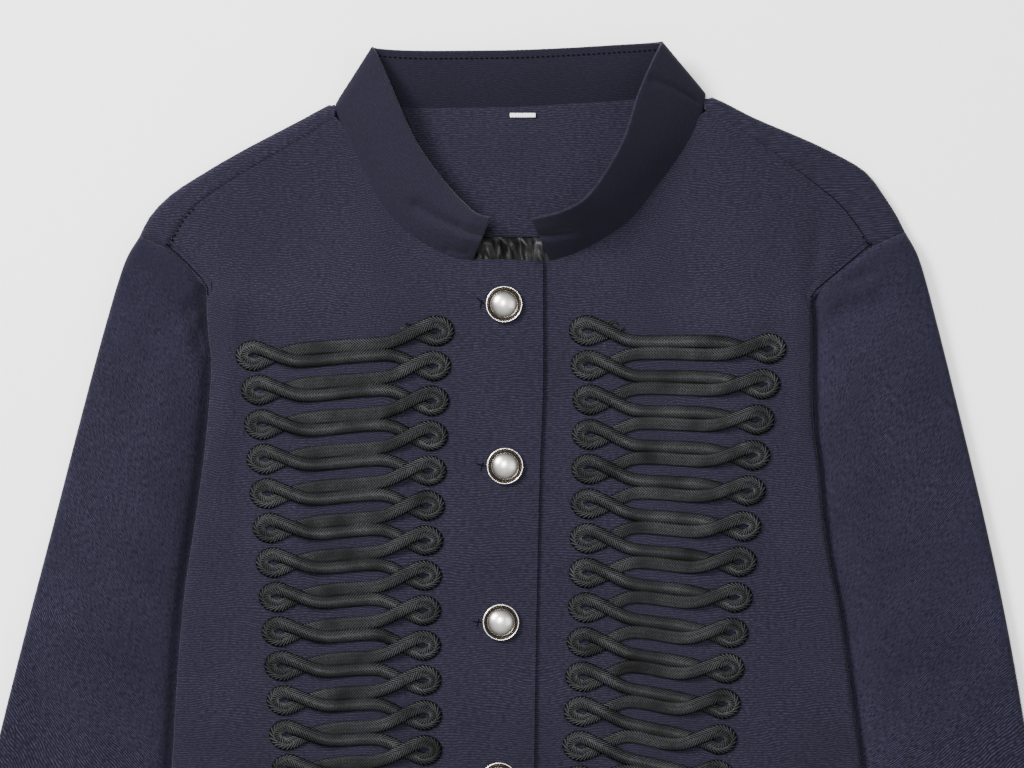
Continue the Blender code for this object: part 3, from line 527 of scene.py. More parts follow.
def sleeve_patch(side):
    """A function from a place round and a share down to a point of the sleeve's tube.

    A place round is 0 to 1 on the outer fold, 1 to 2 on the top, 2 to 3 on the inner fold, 3 to 4 below
    and 4 to 5 on the outer fold again.
    """
    stations = by_number(SLEEVE[side])
    armhole = by_length(ARMHOLE[side])
    first = SLEEVE[side][0]

    def chord(down, share):
        """A point in plan between the outer edge at share 0 and the inner edge at 1."""
        outer_out, outer_y, inner_out, inner_y = follow(stations, down)
        straight = Vector((outer_out, outer_y)).lerp(Vector((inner_out, inner_y)), share)
        bend = Vector(follow(armhole, share)) - Vector(first[:2]).lerp(Vector(first[2:]), share)
        return straight + bend * (1.0 - soften(down / 0.4))

    def width(down):
        points = [chord(down, i / 24) for i in range(25)]
        return sum((b - a).length for a, b in zip(points, points[1:]))

    def fold_share(down, beyond):
        """The share of the chord that is a distance outside the body's side fold."""
        low, high = 0.0, 1.0
        for _ in range(18):
            middle = (low + high) / 2
            out, y = chord(down, middle)
            if out > fold_out(side, y) + beyond:
                low = middle
            else:
                high = middle
        return low

    def bends(down):
        """Shares of the top: where the tucked part starts to sink, where it has sunk, and both ends."""
        fade = min(down / 0.08, 1.0)
        sinks = fold_share(down, 8.0) * fade + armhole[3][0] * (1.0 - fade)
        sunk = fold_share(down, 1.0) * fade + armhole[4][0] * (1.0 - fade)
        sunk = min(sunk, 0.97)
        return [0.0, min(sinks, sunk - 0.03), sunk, 1.0]

    def top_share(down, part):
        """part is 0 to 1 up to the first bend, 1 to 2 to the second and 2 to 3 to the inner edge."""
        marks = bends(down)
        piece = min(int(part), 2)
        return marks[piece] + (marks[piece + 1] - marks[piece]) * (part - piece)

    def top_height(down, share):
        out, y = chord(down, share)
        cover = soften((fold_out(side, y) + 8.0 - out) / 7.0) * tucked(side, y)
        return SLEEVE_TOP + (SLEEVE_TUCKED - SLEEVE_TOP) * cover

    def place(round_place, down):
        length = width(down)
        outer = (top_height(down, 0.02) - FLOOR) / 2
        inner = (top_height(down, 0.98) - FLOOR) / 2
        piece = min(int(round_place), 4)
        part = round_place - piece
        across = top_share(down, 3.0 * (part if piece == 1 else 1.0 - part))
        flat_share = outer / length + (1.0 - (outer + inner) / length) * across
        if piece in (0, 4):
            angle = math.pi / 2 * (part if piece == 0 else part - 1.0)
            share = outer * (1.0 - math.cos(angle)) / length
            height = FLOOR + outer * (1.0 + math.sin(angle))
        elif piece == 2:
            share = 1.0 - inner * (1.0 - math.sin(math.pi * part)) / length
            height = FLOOR + inner * (1.0 + math.cos(math.pi * part))
        else:
            share = flat_share
            height = top_height(down, share) if piece == 1 else FLOOR
        ahead = chord(down, min(share + 0.01, 1.0)) - chord(down, max(share - 0.01, 0.0))
        away = Vector((ahead.y, -ahead.x)).normalized()
        spot = chord(down, share) - away * SEAM_GAP * max(0.0, 1.0 - down * 12)
        return Vector((spot.x * side, spot.y, height))

    return place


def collar_patch():
    """A function from shares round and up to a point of the band collar."""
    rows = []
    for seam_x, seam_y, top_x, top_y, rise, height in COLLAR:
        if height == 0.0:
            height = front_height(LEFT if seam_x > 0 else RIGHT, seam_x, seam_y)
        rows.append((seam_x, seam_y, height, top_x, top_y, height + rise))
    stations = by_number(rows)

    def place(across, up):
        values = follow(stations, across)
        seam, top = Vector(values[:3]), Vector(values[3:])
        spot = seam.lerp(top, up)
        spot.z += 1.2 * math.sin(math.pi * up)
        return spot

    return place


def facing_patch(across, down):
    """A point of the facing inside the back neck."""
    x = -FACING_HALF + 2 * FACING_HALF * across
    neck = [(row[0], row[1]) for row in BACK_NECK]
    top = follow(neck, x)[0] + 2.2
    low = FACING_LOW_Y + 6.0 * (x / FACING_HALF) ** 2
    return Vector((x, top + (low - top) * down, FACING_HEIGHT))


def lining_patch(across, down):
    x = -LINING_HALF + 2 * LINING_HALF * across
    top = FACING_LOW_Y - SEAM_GAP + 6.0 * (x / FACING_HALF) ** 2
    return Vector((x, top + (LINING_LOW_Y - top) * down, LINING_HEIGHT))


# Creases pressed into the cloth: piece, one end x and y, other end x and y, half width, height.
# A height below zero is a trough.
CREASES = [
    ("sleeve_right", -178.0, 209.0, -168.0, 214.5, 2.8, -3.2),
    ("sleeve_right", -172.5, 199.0, -169.0, 187.0, 3.2, -3.0),
    ("sleeve_right", -178.0, 203.0, -177.0, 190.0, 4.0, 1.0),
    ("sleeve_right", -192.0, 205.0, -200.0, 165.0, 8.0, -1.2),
    ("sleeve_right", -206.0, 190.0, -222.0, 60.0, 16.0, -0.9),
    ("sleeve_right", -238.0, 120.0, -262.0, -30.0, 14.0, 0.8),
    ("sleeve_right", -198.0, 60.0, -222.0, -120.0, 14.0, -0.9),
    ("sleeve_left", 178.0, 225.5, 193.0, 229.5, 3.0, -2.4),
    ("sleeve_left", 176.0, 222.0, 196.0, 226.0, 4.0, 1.2),
    ("sleeve_left", 172.0, 208.0, 200.0, 214.0, 6.0, -1.6),
    ("sleeve_left", 182.0, 151.0, 198.0, -30.0, 8.0, 1.1),
    ("sleeve_left", 170.0, 110.0, 176.0, 84.0, 4.0, -1.4),
    ("sleeve_left", 214.0, 150.0, 236.0, -20.0, 18.0, -0.8),
    ("front_right", -150.0, 226.0, -158.0, 120.0, 6.0, 0.7),
    ("front_right", -140.0, 200.0, -150.0, 60.0, 10.0, -0.6),
    ("front_right", -100.0, 250.0, -118.0, 60.0, 22.0, 0.7),
    ("front_right", -60.0, 40.0, -70.0, -240.0, 30.0, 0.6),
    ("front_left", 164.5, 260.0, 160.0, 222.0, 3.4, -1.5),
    ("front_left", 152.0, 226.0, 154.0, 130.0, 5.0, 0.6),
    ("front_left", 110.0, 260.0, 124.0, 80.0, 22.0, 0.7),
    ("front_left", 60.0, 30.0, 76.0, -250.0, 30.0, 0.6),
    ("front_left", 140.0, 120.0, 150.0, -60.0, 12.0, -0.5),
    ("back", -20.0, 300.0, 30.0, 296.0, 9.0, 0.5),
]

# Creases across the collar: distance of each end round the collar as a share, then up it, half width, depth
COLLAR_CREASES = [
    (0.0, 0.60, 0.055, 0.60, 3.0, -2.6),
    (0.055, 0.60, 0.12, 0.42, 3.4, -1.9),
    (0.015, 0.16, 0.05, 0.12, 2.0, -1.5),
    (0.945, 0.50, 1.0, 0.62, 3.2, -2.4),
    (0.74, 0.15, 0.76, 0.9, 2.6, -1.5),
    (0.86, 0.2, 0.92, 0.4, 4.0, -0.9),
]
# The collar's length and height, and how far its loose end lifts off the front
COLLAR_LONG = 560.0
COLLAR_HIGH = 34.0
COLLAR_END_LIFT = 5.0
COLLAR_PLACE = collar_patch()

# Cloth finishes: colour, darkened as painted shade between the ribs, colour of the raised ribs, lightened
# as painted light, how far the ribs turn in degrees, rib depth in mm
CLOTHS = {
    "body cloth": ((0.0050, 0.0043, 0.0100), (0.0195, 0.0168, 0.0330), 0.0, 0.1),
    "right sleeve cloth": ((0.0022, 0.0019, 0.0058), (0.0228, 0.0200, 0.0418), -38.0, 0.1),
    "left sleeve cloth": ((0.0026, 0.0023, 0.0066), (0.0262, 0.0232, 0.0476), -20.0, 0.1),
    "collar cloth": ((0.0056, 0.0048, 0.0108), (0.0100, 0.0086, 0.0182), 4.0, 0.03),
}
RIB_PITCH = 1.3
# A sheet's size over the measured one, its least side in metres, its least share of its box
FLAT_SPARE = 1.02
LEAST_SIDE = 0.0101
LEAST_FILL = 0.31
# The braid's cord, the step from strand to strand in its plait, and how far the strands slant
CORD_WIDE = 6.9
CORD_THICK = 2.0
PLAIT_PITCH = 1.56
STRAND_SLANT = math.radians(43)
# The cord's sharpest bend, in radians a metre
BEND_MOST = 220.0
# How far each sleeve stands up between its folds
SLEEVE_SWELL = {RIGHT: 4.5, LEFT: 2.2}
# The photograph's width in pixels, the size of a pixel on the coat, and the camera's lens and sensor
PHOTO_WIDE = 1024
PIXEL = 0.54
LENS = 160.0
SENSOR = 36.0
CAMERA_HIGH = PHOTO_WIDE * PIXEL * LENS / SENSOR
CAMERA_AT = (-1.62, 170.64)
# The back collar's stitched stretch, as shares round the collar
COLLAR_STITCHED = (0.335, 0.655)
# Above this y the armhole seam lies open beside the front
ARMHOLE_OPEN_Y = 219.0
# The cord's tied end on the wearer's left front: x, y
KNOT_AT = (52.6, 202.6)
BACKGROUND = (0.93, 0.93, 0.93)
# Lights: name, then x, y, z and size in metres, then watts
LIGHTS = [
    ("key", -1.5, 1.3, 1.5, 0.8, 150.0),
    ("top", -0.3, 0.62, 2.7, 0.5, 60.0),
    ("fill", 1.7, 0.2, 1.9, 1.6, 18.0),
]


def crease_height(piece, x, y):
    """How far the creases of a piece lift a point of its upper side, in mm."""
    height = 0.0
    for name, x1, y1, x2, y2, half, lift in CREASES:
        if name != piece:
            continue
        run = Vector((x2 - x1, y2 - y1))
        spot = Vector((x - x1, y - y1))
        share = spot.dot(run) / run.length_squared
        if -0.2 < share < 1.2:
            aside = (spot - run * share).length / half
            ends = soften((share + 0.2) / 0.4) * soften((1.2 - share) / 0.4)
            height += lift * ends * math.exp(-aside * aside)
    return height


def sway(x, y, seed):
    """Slow unevenness of cloth laid by hand, 0 to 1."""
    return 0.5 + 0.5 * noise.noise(Vector((x * 0.014, y * 0.01, seed)))


def front_top(side, x, y):
    """Height of the middle of a front's cloth with its creases."""
    name = "front_right" if side == RIGHT else "front_left"
    return front_height(side, x, y) + crease_height(name, x, y) + 0.9 * sway(x, y, 3.0 + side)


def between(marks, steps):
    """Values from mark to mark, with about the same step all the way."""
    span = marks[-1] - marks[0]
    values = []
    for start, end in zip(marks, marks[1:]):
        count = max(1, round((end - start) / span * steps))
        values += [start + (end - start) * i / count for i in range(count)]
    return [*values, marks[-1]]


def shares(count):
    return [i / count for i in range(count + 1)]


def cloth_mesh(name, place, columns, rows, weave_at=None, weld=False):
    """A fine sheet with a UV map in metres of cloth: along each row, and down by weave_at or by place."""
    points = [[place(column, row) * MM for column in columns] for row in rows]
    wide, high = len(columns), len(rows)
    down = [0.0] * wide
    map_points = []
    for i, line in enumerate(points):
        along = line[0].x if weave_at is None else 0.0
        if i:
            down = [down[j] + (line[j] - points[i - 1][j]).length for j in range(wide)]
        for j, point in enumerate(line):
            if j:
                along += (point - line[j - 1]).length
            map_points.append((along, point.y if weave_at is None else weave_at(rows[i])))
    verts = [point for line in points for point in line]
    faces = [
        (i * wide + j, i * wide + j + 1, (i + 1) * wide + j + 1, (i + 1) * wide + j)
        for i in range(high - 1)
        for j in range(wide - 1)
    ]
    mesh = bpy.data.meshes.new(name)
    mesh.from_pydata(verts, [], faces)
    uv = mesh.uv_layers.new(name="cloth")
    for loop in mesh.loops:
        uv.data[loop.index].uv = map_points[loop.vertex_index]
    shape = bmesh.new()
    shape.from_mesh(mesh)
    if weld:
        bmesh.ops.remove_doubles(shape, verts=shape.verts, dist=0.00001)
    bmesh.ops.recalc_face_normals(shape, faces=shape.faces)
    shape.to_mesh(mesh)
    shape.free()
    mesh.shade_smooth()
    widest = max(sum((b - a).length for a, b in zip(line, line[1:])) for line in points)
    return mesh, widest, max(down)


def add_piece(name, mesh, finish, nodes=()):
    if finish is not None:
        mesh.materials.clear()
        mesh.materials.append(finish)
    piece = bpy.data.objects.new(name, mesh)
    bpy.context.scene.collection.objects.link(piece)
    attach(piece, "root")
    if nodes:
        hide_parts(*nodes)
    return piece


def add_sheet(name, made, finish, thickness, nodes):
    """A cloth piece from its sheet: a wall with soft edges."""
    mesh, wide, high = made
    area = sum(face.area for face in mesh.polygons)
    piece = add_piece(name, mesh, finish, nodes)
    wall = piece.modifiers.new("wall", "SOLIDIFY")
    wall.thickness = thickness * MM
    wall.offset = 0.0
    wall.use_quality_normals = True
    edge = piece.modifiers.new("soft edge", "BEVEL")
    edge.limit_method = "ANGLE"
    edge.angle_limit = math.radians(60)
    edge.width = thickness * 0.3 * MM
    edge.segments = 2
    flat = (max(wide * FLAT_SPARE, LEAST_SIDE), max(high * FLAT_SPARE, LEAST_SIDE))
    area = max(area, LEAST_FILL * flat[0] * flat[1])
    return piece


def fine_front(side):
    place_flat, columns, rows = front_patch(side)
    turned = [1.0 + TURN_COLUMNS * i / 10 for i in range(1, 11)]
    turned += [1.0 + TURN_COLUMNS + LIP_COLUMNS * i / 9 for i in range(1, 10)]

    def place(across, share):
        spot = place_flat(across, share)
        number = across - 1.0
        fade = 1.0 - soften(number / TURN_COLUMNS * 2.0) if number > 0 else 1.0
        if fade > 0:
            spot.z += (front_top(side, spot.x, spot.y) - front_height(side, spot.x, spot.y)) * fade
        return spot

    return cloth_mesh(f"front {side}", place, between(columns, 64) + turned, between(rows, 130))


def fine_back():
    place_flat, columns, rows = back_patch()
    shoulder = [-i / 14 for i in range(14, 0, -1)]
    order = shoulder + between([0.0001, *rows], 90)

    def place(across, row):
        spot = place_flat(across, row)
        if row > 0.0:
            spot.z += max(crease_height("back", spot.x, spot.y), 0.0)
        elif spot.z > 5.0:
            spot.z -= 0.9 * soften((-row - 0.86) / 0.14)
        return spot

    return cloth_mesh("back", place, between(columns, 70), order)


def fine_sleeve(side):
    place_flat = sleeve_patch(side)
    name = "sleeve_right" if side == RIGHT else "sleeve_left"
    around = [0.0]
    for part, count in enumerate((6, 40, 10, 20, 6)):
        around += [part + i / count for i in range(1, count + 1)]
    rows = [0.0, 0.01, 0.02, 0.035] + [0.05 + 0.95 * i / 84 for i in range(85)]

    def place(round_place, down):
        spot = place_flat(round_place, down)
        out = abs(spot.x)
        top = soften((spot.z - 3.2) / 2.4)
        open_share = soften((out - fold_out(side, spot.y) - 2.0) / 8.0)
        lift = crease_height(name, spot.x, spot.y) + 0.9 * sway(spot.x, spot.y, 9.0 + side)
        beyond = min(max((out - fold_out(side, spot.y)) / 74.0, 0.0), 1.0)
        lift += SLEEVE_SWELL[side] * math.sin(math.pi * beyond)
        spot.z += lift * top * open_share
        sewn = 1.0 - soften(down / 0.012)
        spot.z = FLOOR + (spot.z - FLOOR) * (1.0 - 0.16 * sewn)
        return spot

    return cloth_mesh(name, place, around, rows, weave_at=lambda down: down * 0.59, weld=True)


def collar_point(across, up):
    """A point of the collar with its creases, drawn in a little where it stands nearer the camera."""
    spot = COLLAR_PLACE(across, up)
    lowest = 0.0
    for a, b, c, d, half, depth in COLLAR_CREASES:
        run = Vector(((c - a) * COLLAR_LONG, (d - b) * COLLAR_HIGH))
        at = Vector(((across - a) * COLLAR_LONG, (up - b) * COLLAR_HIGH))
        share = min(max(at.dot(run) / run.length_squared, 0.0), 1.0)
        aside = (at - run * share).length / half
        lowest = min(lowest, depth * math.exp(-aside * aside))
    spot.z += COLLAR_END_LIFT * up * max(0.0, 1.0 - across / 0.07) ** 2
    spot.z += lowest + 0.5 * noise.noise(Vector((across * 14, up * 1.5, 4.0))) * up
    for axis, middle in enumerate(CAMERA_AT):
        spot[axis] = middle + (spot[axis] - middle) * (1.0 - max(spot.z - 6.0, 0.0) / CAMERA_HIGH)
    return spot


def fine_collar():
    up = [-0.02 + 1.02 * i / 20 for i in range(21)]
    return cloth_mesh("collar", collar_point, shares(260), up, weave_at=lambda part: part * 0.035)


def fine_facing():
    def place(across, down):
        spot = facing_patch(across, down)
        spot.z += 0.5 * sway(spot.x * 2, spot.y * 2, 1.0)
        return spot

    return cloth_mesh("facing", place, shares(30), shares(24))


def fine_lining():
    """Thin shiny lining, gathered into small upright pleats where it is sewn to the facing."""

    def place(across, down):
        spot = lining_patch(across, down)
        free = soften(down / 0.1)
        pleat = noise.noise(Vector((spot.x * 0.17, spot.y * 0.07, 2.0)))
        fine = noise.noise(Vector((spot.x * 0.42 + spot.y * 0.12, spot.y * 0.16, 5.0)))
        spot.z += -0.7 + (1.3 + 2.2 * pleat + 0.8 * fine) * free
        return spot

    return cloth_mesh("lining", place, shares(150), shares(40))


def put_node(tree, kind, inputs=(), **settings):
    """A node of a tree, with its inputs joined to sockets or set to values."""
    node = tree.nodes.new(kind)
    for key, value in settings.items():
        setattr(node, key, value)
    for key, value in dict(inputs).items():
        if isinstance(value, bpy.types.NodeSocket):
            tree.links.new(value, node.inputs[key])
        else:
            node.inputs[key].default_value = value
    return node


class Nodes:
    """A material and a small helper to put its shader nodes down and join them."""

    def __init__(self, name):
        self.material = bpy.data.materials.new(name)
        self.material.use_nodes = True
        self.tree = self.material.node_tree
        self.shader = self.tree.nodes["Principled BSDF"]

    def add(self, kind, inputs=(), **settings):
        return put_node(self.tree, kind, inputs, **settings)

    def noise(self, place, scale, detail=2.0):
        """A noise texture's grey value."""
        inputs = {"Vector": place, "Scale": scale, "Detail": detail}
        return self.add("ShaderNodeTexNoise", inputs).outputs["Fac"]

    def bump(self, height, strength, distance):
        inputs = {"Height": height, "Strength": strength, "Distance": distance}
        return self.add("ShaderNodeBump", inputs).outputs[0]

    def mix(self, share, low, high):
        """Between two colours, of which either can come from another node."""
        ends = {0: share}
        for key, value in ((6, low), (7, high)):
            ends[key] = value if isinstance(value, bpy.types.NodeSocket) else (*value, 1.0)
        return self.add("ShaderNodeMix", ends, data_type="RGBA").outputs[2]

    def sum(self, first, second, operation="ADD"):
        return self.add("ShaderNodeMath", {0: first, 1: second}, operation=operation).outputs[0]

    def finish(self, roughness, colour=None, normal=None, **values):
        if colour is not None:
            self.tree.links.new(colour, self.shader.inputs["Base Color"])
        if normal is not None:
            self.tree.links.new(normal, self.shader.inputs["Normal"])
        self.shader.inputs["Roughness"].default_value = roughness
        for key, value in values.items():
            self.shader.inputs[key.replace("_", " ")].default_value = value
        return self.material


def ribbed_cloth(name):
    """Navy cloth with fine wavy cross ribs, broken into short yarns, on the piece's UV map in metres.
    Besides the bump, the ribs' relief is painted into the colour: painted light on the raised ribs and
    painted shade between them.
    """
    ground, lit_rib_colour, turn, depth = CLOTHS[name]
    nodes = Nodes(name)
    uv = nodes.add("ShaderNodeUVMap", uv_map="cloth").outputs[0]
    tilt = (0, 0, math.radians(turn))
    turned = nodes.add("ShaderNodeMapping", {"Vector": uv, "Rotation": tilt}).outputs[0]
    drift = nodes.add("ShaderNodeTexNoise", {"Vector": uv, "Scale": 9.0, "Detail": 4.0, "Roughness": 0.62})
    middle = {0: drift.outputs["Color"], 1: (0.5, 0.5, 0.5)}
    away = nodes.add("ShaderNodeVectorMath", middle, operation="SUBTRACT").outputs[0]
    away = nodes.add("ShaderNodeVectorMath", {0: away, "Scale": 0.02}, operation="SCALE").outputs[0]
    turned = nodes.add("ShaderNodeVectorMath", {0: turned, 1: away}, operation="ADD").outputs[0]
    ribs = nodes.add(
        "ShaderNodeTexWave",
        {
            "Vector": turned,
            "Scale": math.pi / 10 / (RIB_PITCH * MM),
            "Distortion": 1.6,
            "Detail": 2.0,
            "Detail Scale": 0.6,
        },
        bands_direction="Y",
    ).outputs["Fac"]
    yarn_size = (420.0, 1500.0, 1.0)
    stretched = nodes.add("ShaderNodeMapping", {"Vector": turned, "Scale": yarn_size}).outputs[0]
    yarns = nodes.noise(stretched, 1.0)
    slow = nodes.noise(uv, 16.0, 3.0)
    broken = nodes.sum(nodes.sum(ribs, 0.3), nodes.sum(yarns, yarns, "MULTIPLY"), "MULTIPLY")
    seen = {"Value": broken, "From Min": 0.06, "From Max": 0.5}
    light = nodes.add("ShaderNodeMapRange", seen, interpolation_type="SMOOTHSTEP").outputs[0]
    # Painted light and shade of the ribs: raised ribs lighter, the ground between them darker
    colour = nodes.mix(light, ground, lit_rib_colour)
    darker = tuple(part * 0.82 for part in ground)
    worn = {"Value": slow, "From Min": 0.35, "From Max": 0.7, "To Max": 0.35}
    colour = nodes.mix(nodes.add("ShaderNodeMapRange", worn).outputs[0], colour, darker)
    height = nodes.sum(ribs, nodes.sum(yarns, 0.5, "MULTIPLY"))
    bump = nodes.bump(height, 0.75, depth * MM)
    return nodes.finish(0.85, colour, bump, Sheen_Weight=0.08, Sheen_Roughness=0.4, Specular_IOR_Level=0.12)


def satin_lining():
    nodes = Nodes("black satin lining")
    uv = nodes.add("ShaderNodeUVMap", uv_map="cloth").outputs[0]
    stretched = nodes.add("ShaderNodeMapping", {"Vector": uv, "Scale": (240.0, 60.0, 1.0)}).outputs[0]
    crinkle_and_sheen_streaks = nodes.noise(stretched, 1.0, 5.0)
    # Lighter along the crinkles: painted sheen streaks of the shiny satin
    colour = nodes.mix(crinkle_and_sheen_streaks, (0.001, 0.001, 0.0012), (0.009, 0.009, 0.01))
    bump = nodes.bump(crinkle_and_sheen_streaks, 0.8, 0.0006)
    return nodes.finish(0.4, colour, bump, Specular_IOR_Level=0.17)


def braid_thread(name, low, high):
    """Twisted thread, lighter in some stretches than in others."""
    nodes = Nodes(name)
    place = nodes.add("ShaderNodeTexCoord").outputs["Object"]
    fibres = nodes.noise(place, 900.0, 3.0)
    colour = nodes.mix(nodes.sum(fibres, nodes.noise(place, 70.0, 1.0), "MULTIPLY"), low, high)
    return nodes.finish(0.6, colour, nodes.bump(fibres, 0.6, 0.0001), Specular_IOR_Level=0.06)


def aged_silver():
    """Satin silver with dark tarnish in the groove and painted shade on the dome's sides and round the
    rim's foot, which the mesh marks with its own attribute.
    """
    nodes = Nodes("aged silver")
    place = nodes.add("ShaderNodeTexCoord").outputs["Object"]
    groove = nodes.add("ShaderNodeAttribute", attribute_name="groove").outputs["Fac"]
    bright = nodes.mix(nodes.noise(place, 420.0, 4.0), (0.58, 0.54, 0.49), (0.9, 0.88, 0.85))
    # Darkened by the groove attribute: tarnish in the groove, painted shade up the dome's sides
    colour = nodes.mix(groove, bright, (0.03, 0.024, 0.018))
    bump = nodes.bump(nodes.noise(place, 1500.0), 0.35, 0.00008)
    return nodes.finish(0.3, colour, bump, Metallic=1.0)


def plain_thread(name, low, high, roughness):
    nodes = Nodes(name)
    place = nodes.add("ShaderNodeTexCoord").outputs["Object"]
    fibres = nodes.noise(place, 1800.0, 3.0)
    bump = nodes.bump(fibres, 0.6, 0.0001)
    return nodes.finish(roughness, nodes.mix(fibres, low, high), bump, Specular_IOR_Level=0.05)


def geometry_tree(name, sizes, materials):
    """A Geometry Nodes tree with an input for the geometry, for each size and for each material."""
    tree = bpy.data.node_groups.new(name, "GeometryNodeTree")
    tree.interface.new_socket("Geometry", in_out="INPUT", socket_type="NodeSocketGeometry")
    for key, value in sizes.items():
        socket = tree.interface.new_socket(key, in_out="INPUT", socket_type="NodeSocketFloat")
        socket.default_value = value
    for key in materials:
        tree.interface.new_socket(key, in_out="INPUT", socket_type="NodeSocketMaterial")
    tree.interface.new_socket("Geometry", in_out="OUTPUT", socket_type="NodeSocketGeometry")
    given = tree.nodes.new("NodeGroupInput")
    result = tree.nodes.new("NodeGroupOutput")

    def put(kind, inputs=(), **settings):
        return put_node(tree, kind, inputs, **settings)

    return tree, given, result, put


def points_along(put, path, pitch):
    """Points at a pitch on a path, and the turn of each with its x along the path and its z up."""
    points = put("GeometryNodeCurveToPoints", {"Curve": path, "Length": pitch}, mode="LENGTH")
    axes = {"Primary Axis": points.outputs["Tangent"], "Secondary Axis": (0.0, 0.0, 1.0)}
    turn = put("FunctionNodeAxesToRotation", axes, primary_axis="X", secondary_axis="Z")
    return points.outputs[0], turn.outputs[0]


def plaited_cord_tree():
    """A flat plaited cord on a path: a core, and two rows of slanting strands that meet in its middle."""
    sizes = {
        "Cord width": CORD_WIDE * MM,
        "Cord thickness": CORD_THICK * MM,
        "Plait pitch": PLAIT_PITCH * MM,
    }
    tree, given, result, put = geometry_tree("plaited cord", sizes, ["Thread", "Core"])
    width, thick, pitch = (given.outputs[key] for key in sizes)

    def scaled(value, factor):
        return put("ShaderNodeMath", {0: value, 1: factor}, operation="MULTIPLY").outputs[0]

    def vector(x, y, z):
        return put("ShaderNodeCombineXYZ", {"X": x, "Y": y, "Z": z}).outputs[0]

    path = put("GeometryNodeMeshToCurve", {"Mesh": given.outputs["Geometry"]}).outputs[0]
    path = put("GeometryNodeSetCurveNormal", {"Curve": path}, mode="Z_UP").outputs[0]
    ring = put("GeometryNodeCurvePrimitiveCircle", {"Resolution": 8, "Radius": 0.5}).outputs[0]
    oval = {"Geometry": ring, "Scale": vector(width, scaled(thick, 0.66), 1.0)}
    core = put("GeometryNodeTransform", oval).outputs[0]
    spaced = {"Curve": path, "Length": scaled(pitch, 1.3)}
    core_path = put("GeometryNodeResampleCurve", spaced, mode="LENGTH").outputs[0]
    swept = {"Curve": core_path, "Profile Curve": core, "Fill Caps": True}
    body = put("GeometryNodeCurveToMesh", swept).outputs[0]
    body = put("GeometryNodeSetMaterial", {"Geometry": body, "Material": given.outputs["Core"]}).outputs[0]
    points, turn = points_along(put, path, pitch)
    strand = put("GeometryNodeMeshCylinder", {"Vertices": 6, "Radius": 0.5, "Depth": 1.0}).outputs[0]
    bend = put("GeometryNodeInputNamedAttribute", {"Name": "bend"}, data_type="FLOAT").outputs[0]
    rows = [body]
    for way in (-1.0, 1.0):
        # Strands spread on the outside of a bend and close up on its inside
        turned = put("ShaderNodeMath", {0: scaled(bend, way), 1: width}, operation="MULTIPLY").outputs[0]
        size = {}
        for axis, change in (("X", -0.32), ("Y", 0.16), ("Z", 0.0)):
            grown = {0: turned, 1: change, 2: 1.0}
            size[axis] = put("ShaderNodeMath", grown, operation="MULTIPLY_ADD").outputs[0]
        spread = put("ShaderNodeCombineXYZ", size).outputs[0]
        lying = {
            "Geometry": strand,
            "Rotation": (0.0, math.pi / 2, 0.0),
            "Scale": vector(scaled(thick, 0.42), scaled(pitch, 0.41), scaled(width, 0.8)),
        }
        slanting = {
            "Geometry": put("GeometryNodeTransform", lying).outputs[0],
            "Rotation": (0.0, 0.08, way * STRAND_SLANT),
            "Translation": vector(0.0, scaled(width, way * 0.19), scaled(thick, 0.24)),
        }
        leaf = put("GeometryNodeTransform", slanting).outputs[0]
        placed = {"Points": points, "Instance": leaf, "Rotation": turn, "Scale": spread}
        row = put("GeometryNodeInstanceOnPoints", placed).outputs[0]
        paint = {"Geometry": row, "Material": given.outputs["Thread"]}
        rows.append(put("GeometryNodeSetMaterial", paint).outputs[0])
    joined = put("GeometryNodeJoinGeometry")
    for row in rows:
        tree.links.new(row, joined.inputs[0])
    real = put("GeometryNodeRealizeInstances", {"Geometry": joined.outputs[0]}).outputs[0]
    smooth = put("GeometryNodeSetShadeSmooth", {"Geometry": real}).outputs[0]
    tree.links.new(smooth, result.inputs[0])
    return tree


def stitch_tree():
    """Short stitches along a path, each sunk a little into the cloth at its ends."""
    sizes = stitch_sizes(1.7, 2.7, 0.8)
    tree, given, result, put = geometry_tree("stitches", sizes, ["Finish"])
    length, pitch, thread = (given.outputs[key] for key in sizes)
    path = put("GeometryNodeMeshToCurve", {"Mesh": given.outputs["Geometry"]}).outputs[0]
    points, turn = points_along(put, path, pitch)
    size = put("ShaderNodeCombineXYZ", {"X": length, "Y": thread, "Z": thread}).outputs[0]
    ball = put("GeometryNodeMeshUVSphere", {"Segments": 8, "Rings": 6, "Radius": 0.5}).outputs[0]
    stitch = put("GeometryNodeTransform", {"Geometry": ball, "Scale": size}).outputs[0]
    placed = {"Points": points, "Instance": stitch, "Rotation": turn}
    row = put("GeometryNodeInstanceOnPoints", placed).outputs[0]
    real = put("GeometryNodeRealizeInstances", {"Geometry": row}).outputs[0]
    smooth = put("GeometryNodeSetShadeSmooth", {"Geometry": real}).outputs[0]
    paint = {"Geometry": smooth, "Material": given.outputs["Finish"]}
    tree.links.new(put("GeometryNodeSetMaterial", paint).outputs[0], result.inputs[0])
    return tree


def stitch_sizes(length, pitch, thread):
    return {"Stitch length": length * MM, "Stitch pitch": pitch * MM, "Thread": thread * MM}


